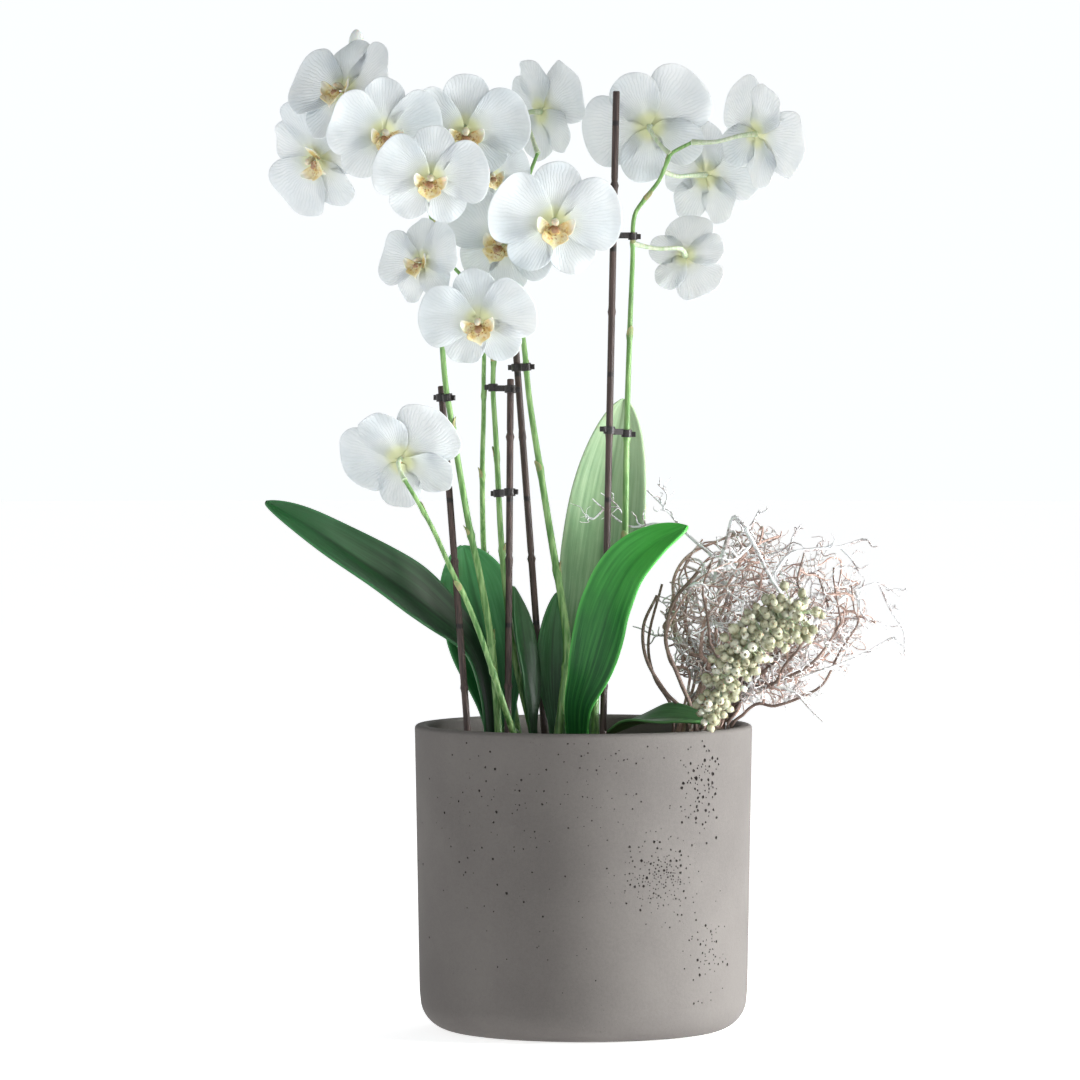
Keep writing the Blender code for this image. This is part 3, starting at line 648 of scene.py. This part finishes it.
def buildBud():
    paint = Paint("budWhite", roughness=0.45, subsurface_weight=0.2, subsurface_scale=0.003)
    low = paint.height().smooth(0.735, 0.722)
    paint.colour(paint.mix(low, rgb(238, 243, 240), rgb(186, 206, 160)))
    paint.bump(paint.noise(120), 0.0005, 0.5)
    bm = bmesh.new()
    verts = bmesh.ops.create_uvsphere(bm, u_segments=30, v_segments=20, radius=1)["verts"]
    for vert in verts:
        x, y, z = vert.co
        angle = math.atan2(y, x)
        seam = 1 - 0.08 * math.exp(-(math.sin(angle * 1.5) / 0.12) ** 2)
        point = 1 - 0.16 * max(z, 0) ** 2
        half = budLook["wide"] / 2 * seam * point
        vert.co = Vector(budLook["centre"]) + Vector((x * half, y * half, z * budLook["long"] / 2))
    finishPiece("bud_top_skin", bm, [paint], ["bud_top"])
    strands("bud_top_stalk", [[(Vector((-168, 8, 713)), 1.3), (Vector((-168, 9, 717)), 1.4),
                               (Vector((-168, 10, 722)), 2.2)]], stalkPaint(), sides=8)
    print("bud done")


stakes = {  # foot and top
    "stake_left": [(-84, -44, 206), (-105, -22, 476)],
    "stake_centre_left": [(-56, -30, 206), (-54, -4, 481)],
    "stake_centre_right": [(-28, 17, 206), (-51, 9, 516)],
    "stake_right": [(14, -24, 206), (24, -16, 693)],
}
stakeLook = {"radius": 2.7, "below": 8, "joint": 92}
clips = {  # stake, spike and height of each
    "clip_left": ("stake_left", "spike_far_left", 468),
    "clip_centre_left_upper": ("stake_centre_left", "spike_centre_left", 474),
    "clip_centre_left_lower": ("stake_centre_left", "spike_centre_left", 398),
    "clip_centre_right": ("stake_centre_right", "spike_centre_right", 490),
    "clip_right_upper": ("stake_right", "spike_right", 588),
    "clip_right_lower": ("stake_right", "spike_right", 444),
}
clipLook = {"high": 5.6, "wall": 1.5, "tab": 4.5}


def canePaint():
    paint = Paint("caneBrown", roughness=0.5)
    grain = paint.noise(1.0, 4.0, at=paint.stretched((900, 900, 26)))
    body = paint.mix(grain.smooth(0.3, 0.7), rgb(44, 32, 30), rgb(84, 66, 60))
    ring = (paint.height() * 68).sine().smooth(0.985, 1.0)
    paint.colour(paint.mix(ring, body, rgb(24, 18, 17)))
    paint.rough(0.42 + grain * 0.2)
    paint.bump(grain, 0.0005, 0.6)
    return paint


def buildStakes():
    cane = canePaint()
    for name, (foot, top) in stakes.items():
        foot, top = Vector(foot), Vector(top)
        aim = (top - foot).normalized()
        foot = foot - aim * stakeLook["below"]
        length = (top - foot).length
        count = int(length / 3)
        line = []
        for i in range(count + 1):
            along = i / count * length
            near = (along + 40) % stakeLook["joint"]
            swell = 0.28 * math.exp(-((near - 6) / 1.6) ** 2) - 0.12 * math.exp(-((near - 9.5) / 1.2) ** 2)
            line.append((foot.lerp(top, i / count), stakeLook["radius"] * (0.94 + swell)))
        line.append((top + aim * 0.5, stakeLook["radius"] * 0.7))
        strands(f"{name}_cane", [line], cane, [name], sides=14)
    print("stakes done")


def clipPaint():
    paint = Paint("clipBlack", roughness=0.38)
    grain = paint.noise(900, 3.0)
    paint.colour(paint.mix(grain.smooth(0.3, 0.7), rgb(22, 20, 20), rgb(52, 46, 46)))
    paint.rough(0.3 + grain * 0.2)
    paint.bump(grain, 0.0002, 0.4)
    return paint


def addRing(bm, at, aim, radius, high, wall):
    # one eye of a clip: a bevelled ring of rectangular section
    half = high / 2
    section = [(radius, -half), (radius + wall, -half), (radius + wall, half), (radius, half)]
    verts = [bm.verts.new((x, 0, z)) for x, z in section]
    edges = [bm.edges.new((verts[i], verts[(i + 1) % 4])) for i in range(4)]
    made = bmesh.ops.spin(bm, geom=verts + edges, angle=math.tau, steps=24, axis=(0, 0, 1), use_merge=True)
    ring = {v for e in edges for v in e.verts}
    reach = set(ring)
    while ring:  # everything joined to the first section belongs to this ring
        ring = {e.other_vert(v) for v in ring for e in v.link_edges} - reach
        reach |= ring
    place = Matrix.Translation(at) @ aim.to_track_quat("Z", "Y").to_matrix().to_4x4()
    bmesh.ops.transform(bm, matrix=place, verts=list(reach))


def addBar(bm, start, end, wide, high):
    aim = end - start
    turn = Matrix.Rotation(math.atan2(aim.y, aim.x), 4, "Z")
    verts = bmesh.ops.create_cube(bm, size=1)["verts"]
    bmesh.ops.scale(bm, vec=(aim.length, wide, high), verts=verts)
    bmesh.ops.transform(bm, matrix=Matrix.Translation((start + end) / 2) @ turn, verts=verts)


def buildClips():
    black = clipPaint()
    for name, (stake, spike, height) in clips.items():
        foot, top = [Vector(p) for p in stakes[stake]]
        aim = (top - foot).normalized()
        atStake = foot + aim * (height - foot.z) / aim.z
        path = spikePaths[spike]
        atSpike = min(path.points, key=lambda p: abs(p.z - height))
        share = path.runs[path.points.index(atSpike)] / path.length
        low, high = spikes[spike]["radius"]
        stem = low + (high - low) * share
        bm = bmesh.new()
        addRing(bm, atStake, aim, stakeLook["radius"] + 0.15, clipLook["high"], clipLook["wall"])
        addRing(bm, atSpike, path.heading(share), stem + 0.25, clipLook["high"], clipLook["wall"])
        way = (atSpike - atStake).normalized()
        side = Vector((-way.y, way.x, 0)).normalized()
        inner = atStake + way * (stakeLook["radius"] + 1.2)
        outer = atSpike - way * (stem + 1.2)
        for push in (-1.3, 1.3):
            addBar(bm, inner + side * push, outer + side * push, 1.1, clipLook["high"] * 0.8)
        for at, radius, turn in ((atStake, stakeLook["radius"], -1), (atSpike, stem, 1)):
            for spread in (-0.5, 0.5):  # finger tabs past each eye
                out = (way * turn + side * spread * 1.2).normalized()
                addBar(bm, at + out * (radius + 1.0), at + out * (radius + clipLook["tab"]), 1.2, clipLook["high"] * 0.7)
        bmesh.ops.recalc_face_normals(bm, faces=bm.faces)
        piece = finishPiece(f"{name}_body", bm, [black], [name], smooth=False)
        edge = piece.modifiers.new("Edge", "BEVEL")
        edge.width = 0.25 * mm
        edge.segments = 2
    print("clips done")


ball = {"centre": Vector((134, -4, 306)), "half": Vector((84, 62, 72)), "pole": Vector((-0.45, -0.05, -0.90))}
twigLook = {"mains": 40, "fine": 480, "tips": 560, "stray": 22, "foot": Vector((74, -6, 190))}
branches = [  # the thick frosted twigs that stand out of the ball: route and width at the foot
    ([(96, -20, 330), (104, -34, 362), (112, -40, 380), (124, -52, 362), (136, -62, 338), (154, -70, 312)], 2.3),
    ([(112, -40, 380), (122, -30, 374), (131, -22, 384)], 1.5),
    ([(124, -52, 362), (112, -62, 350), (100, -66, 352)], 1.3),
    ([(136, -30, 330), (152, -20, 352), (170, -14, 356), (188, -10, 357), (206, -4, 362)], 1.8),
    ([(188, -10, 357), (198, -14, 350), (204, -16, 340)], 1.2),
    ([(150, -10, 346), (156, 0, 364), (162, 6, 374)], 1.2),
    ([(170, -30, 300), (186, -26, 318), (202, -18, 326), (218, -12, 330), (234, -8, 322)], 1.8),
    ([(218, -12, 330), (228, -6, 312), (236, -2, 296), (238, 0, 278)], 1.4),
    ([(202, -18, 326), (206, -24, 308), (214, -26, 300)], 1.2),
    ([(160, -40, 262), (184, -34, 270), (208, -28, 280), (226, -20, 290)], 1.6),
    ([(140, -40, 256), (154, -46, 250), (166, -48, 238), (176, -50, 229)], 1.4),
    ([(154, -46, 250), (164, -40, 246), (176, -36, 248)], 1.1),
    ([(96, -10, 350), (76, 4, 368), (60, 14, 384), (48, 16, 398)], 1.3),
    ([(60, 14, 384), (62, 10, 396), (56, 8, 404)], 0.9),
    ([(76, 4, 368), (56, 18, 374), (34, 24, 372), (16, 24, 384), (6, 22, 392)], 1.1),
    ([(34, 24, 372), (24, 20, 388), (14, 20, 396)], 0.8),
    ([(16, 24, 384), (8, 20, 376), (2, 20, 380)], 0.8),
]
loops = [  # dark stems that bow out of the pot at the ball's lower left
    ([(72, -20, 196), (76, -30, 232), (60, -40, 252), (46, -38, 276), (44, -30, 300), (54, -22, 322)], 1.6),
    ([(80, -12, 196), (82, -34, 230), (70, -48, 262), (60, -46, 290), (66, -40, 318), (84, -36, 340)], 1.8),
    ([(64, -2, 196), (66, -10, 236), (52, -16, 262), (48, -14, 290), (58, -10, 330)], 1.4),
]


def twigPaint(name, wood, frost, amount):
    # bare wood with a crust of frost, thicker on the upper side
    paint = Paint(name, roughness=0.75)
    patch = paint.noise(48, 3.0)
    fleck = paint.noise(420, 4.0, 0.7)
    upward = paint.node("ShaderNodeSeparateXYZ", values={0: paint.node("ShaderNodeNewGeometry", out="Normal")}, out=2)
    body = paint.mix(fleck.smooth(0.35, 0.65), rgb(*wood), rgb(*[min(255, c * 1.25) for c in wood]))
    crust = patch * 0.6 + fleck * 0.4 + upward * 0.06
    white = crust.smooth(0.62 - amount, 0.70 - amount)
    paint.colour(paint.mix(white, body, rgb(*frost)))
    paint.bump(fleck, 0.0008, 0.7)
    return paint


def ballPoint(along, around, scale):
    pole = ball["pole"].normalized()
    side = pole.cross(Vector((0, 1, 0))).normalized()
    other = pole.cross(side)
    way = pole * math.cos(along) + (side * math.cos(around) + other * math.sin(around)) * math.sin(along)
    return ball["centre"] + Vector([w * h for w, h in zip(way, ball["half"])]) * scale


def jitter(rng, size):
    return Vector([rng.uniform(-size, size) for _ in range(3)])


def tapering(path, width, thinning=0.6):
    last = len(path.points) - 1
    return [(p, width * (1 - thinning * i / last)) for i, p in enumerate(path.points)]


def mainTwig(rng, number):
    around = math.tau * number / twigLook["mains"] + rng.uniform(-0.1, 0.1)
    scale = rng.uniform(0.4, 0.98)
    spin = rng.uniform(-1.3, 1.3)
    foot = twigLook["foot"] + Vector((14 * math.cos(around), 14 * math.sin(around), rng.uniform(-2, 4)))
    points = [foot]
    reach = rng.uniform(1.7, 2.8)
    for i in range(9):
        t = i / 8
        at = ballPoint(0.33 + (reach - 0.33) * t, around + spin * t, scale + 0.07 * math.sin(5 * t + number))
        points.append(at + jitter(rng, 4.5) * (0.3 + t))
    path = Path(points, 6)
    return path, tapering(path, rng.uniform(1.1, 1.9))


def sideTwig(rng, path, length, width, outward):
    # a side shoot that leaves a larger twig, bends about and tapers
    share = rng.uniform(0.2, 1.0)
    at = path.at(share)
    away = (at - ball["centre"]).normalized()
    aim = (path.heading(share) + jitter(rng, 1.3) + away * outward).normalized()
    points = [at]
    for _ in range(6):
        aim = (aim + jitter(rng, 0.75)).normalized()
        gone = points[-1] - ball["centre"]
        far = math.sqrt(sum((g / h) ** 2 for g, h in zip(gone, ball["half"])))
        if outward <= 0.3 and far > 0.9:
            aim = (aim - gone.normalized() * 1.2).normalized()
        points.append(points[-1] + aim * length / 6)
    shoot = Path(points, 3)
    return shoot, tapering(shoot, width)


def keepInside(line):
    # nothing of the ball passes below the rim outside the pot, or outside the CAD model's box
    return [(Vector((min(p.x, 238), p.y, max(p.z, 229) if math.hypot(p.x, p.y) > 108 else p.z)), r) for p, r in line]


def buildTwigs():
    rng = random.Random(41)
    brown = twigPaint("twigBrown", (158, 134, 124), (226, 222, 218), 0.08)
    pale = twigPaint("twigPale", (184, 168, 162), (234, 234, 234), 0.13)
    frosted = twigPaint("twigFrosted", (158, 148, 146), (240, 242, 244), 0.20)
    dark = twigPaint("twigDark", (104, 88, 80), (190, 184, 178), 0.03)
    paths, mains = [], []
    for number in range(twigLook["mains"]):
        path, line = mainTwig(rng, number)
        paths.append(path)
        mains.append(keepInside(line))
    third = len(mains) // 3
    strands("twigs_main_brown", mains[third:], brown, [f"twig_{i:02d}" for i in range(1, 10)], sides=8)
    bows = [tapering(Path(route, 6), width, 0.3) for route, width in loops]
    strands("twigs_main_dark", mains[:third] + bows, dark, sides=8)
    seconds, fine, tips = [], [], []
    for _ in range(twigLook["fine"]):
        shoot, line = sideTwig(rng, rng.choice(paths), rng.uniform(24, 58), rng.uniform(0.6, 1.2), 0.1)
        seconds.append(shoot)
        fine.append(keepInside(line))
    for _ in range(twigLook["tips"]):
        tips.append(keepInside(sideTwig(rng, rng.choice(seconds), rng.uniform(12, 32), rng.uniform(0.4, 0.8), 0.1)[1]))
    strands("twigs_fine_brown", fine[0::3], brown)
    strands("twigs_fine_pale", fine[1::3], pale)
    strands("twigs_fine_frosted", fine[2::3], frosted)
    strands("twigs_tips_pale", tips[0::2], pale, sides=4)
    strands("twigs_tips_frosted", tips[1::2], frosted, sides=4)
    stray = []
    for route, width in branches:
        path = Path([Vector(p) + jitter(rng, 1.5) for p in route], 6)
        stray.append(keepInside(tapering(path, width, 0.5)))
        for _ in range(4):
            stray.append(keepInside(sideTwig(rng, path, rng.uniform(8, 20), width * rng.uniform(0.4, 0.7), 0.5)[1]))
    for _ in range(twigLook["stray"]):
        shoot, line = sideTwig(rng, rng.choice(paths), rng.uniform(26, 46), rng.uniform(0.9, 1.5), 1.2)
        stray.append(keepInside(line))
        for _ in range(3):
            stray.append(keepInside(sideTwig(rng, shoot, rng.uniform(8, 18), rng.uniform(0.5, 0.9), 0.5)[1]))
    strands("twigs_stray_frosted", stray, frosted)
    print("twigs done")


berryLook = {"radius": (2.2, 4.4), "count": 230, "tries": 4200, "spread": (22, 11), "flat": 0.7}
berryRoute = [(156, -84, 312), (138, -87, 304), (120, -89, 290), (107, -88, 272), (98, -86, 252), (90, -80, 238)]


def berryPaint(name, dull, bright):
    paint = Paint(name, roughness=0.5, subsurface_weight=0.1, subsurface_scale=0.002)
    patch = paint.noise(130, 3.0)
    body = paint.mix(patch.smooth(0.3, 0.7), rgb(*dull), rgb(*bright))
    # darker olive-brown patches: partly stain, partly painted shade, the olive-brown that lies between the berries
    stainAndShade = paint.noise(320, 3.0).smooth(0.54, 0.68) * 0.75
    paint.colour(paint.mix(stainAndShade, body, rgb(104, 100, 72)))
    paint.bump(paint.noise(600), 0.0006, 0.6)
    return paint


def scatterBerries(rng, path):
    # places for the berries round the hanging stem, none pressed far into another
    wide, narrow = berryLook["spread"]
    taken = []
    for _ in range(berryLook["tries"]):
        share = rng.random()
        spread = wide + (narrow - wide) * share
        way = Vector([rng.gauss(0, 1) for _ in range(3)]).normalized() * rng.uniform(0.45, 1.1)
        at = path.at(share) + Vector((way.x * spread, way.y * spread * berryLook["flat"], way.z * spread))
        radius = rng.uniform(*berryLook["radius"])
        clear = all((at - other).length > (radius + size) * 0.82 for other, size in taken)
        if clear and len(taken) < berryLook["count"]:
            taken.append((at, radius))
    return taken


def buildBerries():
    rng = random.Random(7)
    cream = berryPaint("berryCream", (142, 142, 112), (204, 204, 178))
    white = berryPaint("berryWhite", (186, 186, 162), (236, 236, 222))
    tipPaint = Paint("berryTip", roughness=0.8)
    tipPaint.colour(tipPaint.mix(tipPaint.noise(500), rgb(96, 90, 64), rgb(150, 146, 112)))
    path = Path(berryRoute)
    berries, whites, tips, stems = bmesh.new(), bmesh.new(), bmesh.new(), []
    for at, radius in scatterBerries(rng, path):
        root, share = path.nearest(at)
        way = (at - root).normalized()
        turn = way.to_track_quat("Z", "Y").to_matrix().to_4x4()
        stretch = Matrix.Diagonal((1, 1, rng.uniform(0.95, 1.15), 1))
        place = Matrix.Translation(at) @ turn @ stretch
        bmesh.ops.create_icosphere(whites if rng.random() < 0.25 else berries, subdivisions=2, radius=radius,
                                   matrix=place)
        bmesh.ops.create_cone(tips, segments=6, radius1=radius * 0.36, radius2=radius * 0.1, depth=radius * 0.4,
                              matrix=Matrix.Translation(at + way * radius * 1.08) @ turn)
        stems.append([(root, 0.7), (root.lerp(at, 0.5) + Vector((0, 0, 0.8)), 0.5), (at, 0.5)])
    spine = [(path.at(i / 20), 1.4 - 0.5 * i / 20) for i in range(21)]
    finishPiece("berry_spray_berries", berries, [cream], ["berry_spray"])
    finishPiece("berry_spray_whites", whites, [white])
    finishPiece("berry_spray_tips", tips, [tipPaint])
    strands("berry_spray_stems", [spine, *stems], stalkPaint())
    print("berries done")


medium = {"top": 198, "radius": 114.5, "chips": 330, "floor": 14.5}


def barkPaint(name, low, high):
    paint = Paint(name, roughness=0.85)
    grain = paint.noise(1.0, 5.0, 0.65, at=paint.stretched((160, 160, 420)))
    speck = paint.noise(600, 4.0)
    body = paint.mix(grain.smooth(0.35, 0.65), rgb(*low), rgb(*high))
    paint.colour(paint.mix(speck.smooth(0.6, 0.75) * 0.6, body, rgb(176, 140, 104)))
    paint.bump(grain + speck * 0.5, 0.0015, 0.8)
    return paint


def buildBark():
    rng = random.Random(3)
    soil = barkPaint("barkBed", (38, 26, 18), (74, 52, 36))
    chip = barkPaint("barkChip", (84, 56, 36), (146, 104, 70))
    bm = bmesh.new()
    rings = 30
    verts = disc(bm, rings)
    for vert in verts:
        x, y = vert.co.x * medium["radius"], vert.co.y * medium["radius"]
        lump = 2.2 * noise.noise(Vector((x / 9, y / 9, 2))) + 1.2 * noise.noise(Vector((x / 4, y / 4, 5)))
        vert.co = (x, y, medium["top"] - 3.5 + lump)
    bed = finishPiece("bark_medium_bed", bm, [soil], ["bark_medium"])
    thicken(bed, 3.0, 1)
    chips = bmesh.new()
    for _ in range(medium["chips"]):
        far, around = medium["radius"] * 0.95 * math.sqrt(rng.random()), rng.uniform(0, math.tau)
        size = Vector((rng.uniform(5, 12), rng.uniform(4, 8), rng.uniform(1.8, 4)))
        far = min(far, medium["radius"] - size.x * 0.7)
        made = bmesh.ops.create_icosphere(chips, subdivisions=1, radius=0.62)["verts"]
        turn = Matrix.Rotation(rng.uniform(0, math.tau), 3, "Z") @ Matrix.Rotation(rng.uniform(-0.5, 0.5), 3, "X")
        at = Vector((far * math.cos(around), far * math.sin(around), medium["top"] - 1.0 + rng.uniform(-1.5, 2.5)))
        for vert in made:
            rag = 1 + 0.35 * noise.noise(vert.co * 3 + at)
            vert.co = at + turn @ Vector([c * s * rag for c, s in zip(vert.co, size)])
    finishPiece("bark_medium_chips", chips, [chip], smooth=False)
    print("bark done")


pot = {"high": 226, "rim": 125, "foot": 121, "wall": 9, "floor": 14, "edgeRound": 24, "rimRound": 3,
       "sides": 180, "rows": 40}
pitLook = {"ragged": 0.55, "gap": 0.25}
pitFields = [  # direction in degrees from the front towards the right, height, spread, how many, radii
    (27, 122, 24, 300, (0.4, 1.1)), (27, 118, 38, 60, (0.35, 0.8)), (44, 196, 18, 90, (0.5, 1.6)),
    (43, 170, 18, 60, (0.5, 1.4)), (48, 64, 22, 60, (0.45, 1.3)), (42, 30, 26, 16, (0.5, 1.2)),
    (8, 190, 60, 70, (0.35, 0.8)), (-34, 168, 60, 70, (0.4, 1.1)), (-20, 90, 70, 30, (0.4, 0.8)),
    (110, 120, 60, 80, (0.4, 1.5)), (190, 120, 70, 90, (0.4, 1.5)), (260, 110, 60, 60, (0.4, 1.3)),
]


def cementPaint():
    paint = Paint("cementGrey", roughness=0.82, specular_ior_level=0.3)
    cloud = paint.noise(9, 4.0)
    grain = paint.noise(420, 5.0, 0.7)
    sand = paint.cells(1300).smooth(0.15, 0.5)
    body = paint.mix((cloud * 0.7 + grain * 0.3).smooth(0.32, 0.68), rgb(94, 90, 88), rgb(109, 105, 102))
    body = paint.mix(sand * 0.10, body, rgb(140, 134, 128))
    # dark dots in clusters, sunk by the bump: painted shade in tiny pores
    pore = paint.cells(420).smooth(0.16, 0.06) * paint.noise(30, 2.0).smooth(0.56, 0.68)
    paint.colour(paint.mix(pore * 0.6, body, rgb(56, 51, 49)))
    paint.rough(0.74 + grain * 0.16)
    paint.bump(grain * 0.25 + cloud * 0.3 - pore * 1.5, 0.0012, 0.55)
    return paint


def pitPaint():
    # the pits' insides are painted near black: painted shade in the pits
    paint = Paint("cementPit", roughness=0.95, specular_ior_level=0.1)
    paint.colour(paint.mix(paint.noise(500, 4.0), rgb(40, 36, 35), rgb(74, 68, 66)))
    paint.bump(paint.noise(500), 0.0005, 0.6)
    return paint


def quarter(x, z, radius, start, end, steps):
    angles = [math.radians(start + (end - start) * i / steps) for i in range(steps + 1)]
    return [(x + radius * math.cos(a), z + radius * math.sin(a)) for a in angles]


def potWall(z):
    return pot["foot"] + (pot["rim"] - pot["foot"]) * z / pot["high"]


def potProfile():
    # the wall's outline, up the outside, over the rim and down the inside
    edge, lip, wall = pot["edgeRound"], pot["rimRound"], pot["wall"]
    inner = edge - wall
    profile = [(0.001, 0), (60, 0)]
    profile += quarter(pot["foot"] - edge, edge, edge, -90, 0, 14)
    rise = pot["high"] - lip - edge
    profile += [(potWall(edge + rise * i / pot["rows"]), edge + rise * i / pot["rows"]) for i in range(1, pot["rows"])]
    profile += quarter(pot["rim"] - lip, pot["high"] - lip, lip, 0, 90, 6)
    profile += quarter(pot["rim"] - wall + lip, pot["high"] - lip, lip, 90, 180, 6)
    profile += [(potWall(z) - wall, z) for z in (200, 150, 100, 60)]
    profile += quarter(potWall(pot["floor"]) - wall - inner, pot["floor"] + inner, inner, 0, -90, 6)
    return profile + [(50, pot["floor"]), (0.001, pot["floor"])]


def addPits(bm):
    # ragged little balls, half sunk into the wall, which are then cut out of it
    rng = random.Random(19)
    taken = []
    for turn, height, spread, count, (small, large) in pitFields:
        for _ in range(count):
            angle = math.radians(turn) + rng.gauss(0, 0.5) * spread / pot["rim"]
            z = height + rng.gauss(0, 0.5) * spread
            radius = small + (large - small) * rng.random() ** 2
            at = Vector((math.sin(angle) * potWall(z), -math.cos(angle) * potWall(z), z))
            clear = all((at - other).length > (radius + size) * 1.3 + pitLook["gap"] for other, size in taken)
            if clear and pot["edgeRound"] + 3 < z < pot["high"] - 6:
                taken.append((at, radius))
    for at, radius in taken:
        for vert in bmesh.ops.create_icosphere(bm, subdivisions=2, radius=radius)["verts"]:
            vert.co = at + vert.co * (1 + pitLook["ragged"] * noise.noise(vert.co * 1.3 / radius + at))
    # the cut faces take the second, dark paint, which is painted shade inside the pits
    for face in bm.faces:
        face.material_index = 1
    print(len(taken), "pits")


def buildPot():
    bm = bmesh.new()
    verts = [bm.verts.new((x, 0, z)) for x, z in potProfile()]
    edges = [bm.edges.new(pair) for pair in zip(verts, verts[1:])]
    bmesh.ops.spin(bm, geom=verts + edges, angle=math.tau, steps=pot["sides"], axis=(0, 0, 1), use_merge=True)
    bmesh.ops.remove_doubles(bm, verts=bm.verts, dist=0.02)
    bmesh.ops.recalc_face_normals(bm, faces=bm.faces)
    pits = bmesh.new()
    addPits(pits)
    paints = [cementPaint(), pitPaint()]
    shell = finishPiece("pot_shell", bm, paints, ["pot"])
    cutter = finishPiece("pot_pits", pits, paints)
    cut = shell.modifiers.new("Pits", "BOOLEAN")
    cut.operation = "DIFFERENCE"
    cut.object = cutter
    graph = bpy.context.evaluated_depsgraph_get()
    mesh = bpy.data.meshes.new_from_object(shell.evaluated_get(graph))
    shell.modifiers.clear()
    shell.data = mesh
    mesh.shade_smooth()
    mesh.set_sharp_from_angle(angle=math.radians(35))
    bpy.data.objects.remove(cutter)
    print("pot done,", len(mesh.polygons), "faces")


def addLight(name, at, aim, size, power, colour, spread=180):
    light = bpy.data.lights.new(name, "AREA")
    light.size = size
    light.energy = power
    light.color = colour
    light.spread = math.radians(spread)
    lamp = bpy.data.objects.new(name, light)
    bpy.context.scene.collection.objects.link(lamp)
    lamp.location = at
    lamp.rotation_euler = (Vector(aim) - Vector(at)).to_track_quat("-Z", "Y").to_euler()


def paintFloor():
    paint = Paint("floorPale", roughness=0.95, specular_ior_level=0.1)
    paint.colour(paint.mix(paint.noise(3, 2.0), rgb(250, 250, 250), rgb(246, 246, 246)))
    paint.shader.inputs["Emission Color"].default_value = (1, 1, 1, 1)
    paint.shader.inputs["Emission Strength"].default_value = studio["floorGlow"]
    return paint


def paintSky():
    # white round the horizon, dimmer overhead, so that the light stays soft but has a direction
    world = bpy.data.worlds.new("studio")
    world.use_nodes = True
    tree = world.node_tree
    place = tree.nodes.new("ShaderNodeTexCoord")
    split = tree.nodes.new("ShaderNodeSeparateXYZ")
    ramp = tree.nodes.new("ShaderNodeMapRange")
    tree.links.new(place.outputs["Generated"], split.inputs[0])
    tree.links.new(split.outputs[2], ramp.inputs["Value"])
    ramp.inputs["From Min"].default_value = 0.12
    ramp.inputs["From Max"].default_value = 0.45
    ramp.inputs["To Min"].default_value = studio["horizon"]
    ramp.inputs["To Max"].default_value = studio["overhead"]
    tree.links.new(ramp.outputs[0], tree.nodes["Background"].inputs["Strength"])
    tree.nodes["Background"].inputs["Color"].default_value = (0.96, 0.985, 1.0, 1)
    bpy.context.scene.world = world


studio = {"floorGlow": 0.72, "horizon": 1.02, "overhead": 0.22}


def buildStage():
    bm = bmesh.new()
    bmesh.ops.create_circle(bm, cap_ends=True, segments=96, radius=14, matrix=Matrix.Translation((0, 0, -0.0005)))
    mesh = bpy.data.meshes.new("floor")
    bm.to_mesh(mesh)
    bm.free()
    mesh.materials.append(paintFloor().material)
    floor = bpy.data.objects.new("floor", mesh)
    bpy.context.scene.collection.objects.link(floor)
    paintSky()
    addLight("key", (3.0, -1.0, 2.0), (0, 0, 0.45), 1.0, 44, (1.0, 0.97, 0.91))
    addLight("side", (1.6, -0.36, 0.24), (0.1, 0, 0.13), 0.4, 3.6, (0.97, 0.99, 1.0), 46)
    addLight("fill", (-2.4, -2.6, 1.6), (0, 0, 0.4), 2.0, 6, (0.85, 0.93, 1.0))
    addLight("back", (0.8, 2.4, 1.8), (0, 0, 0.5), 1.6, 14, (1.0, 1.0, 1.0))
    camera = bpy.data.cameras.new("camera")
    camera.sensor_width = 36
    camera.lens = 225.3
    camera.clip_end = 60
    viewer = bpy.data.objects.new("camera", camera)
    bpy.context.scene.collection.objects.link(viewer)
    viewer.location = (-0.0322, -5.0, 0.532)
    viewer.rotation_euler = (math.radians(90 - 1.944), 0, 0)
    bpy.context.scene.camera = viewer
    bpy.context.scene.view_settings.view_transform = "Standard"
    print("stage done")


buildStage()
buildPot()
buildBark()
buildCrowns()
buildLeaves()
buildSpikes()
buildStakes()
buildClips()
buildFlowers()
buildBud()
buildTwigs()
buildBerries()
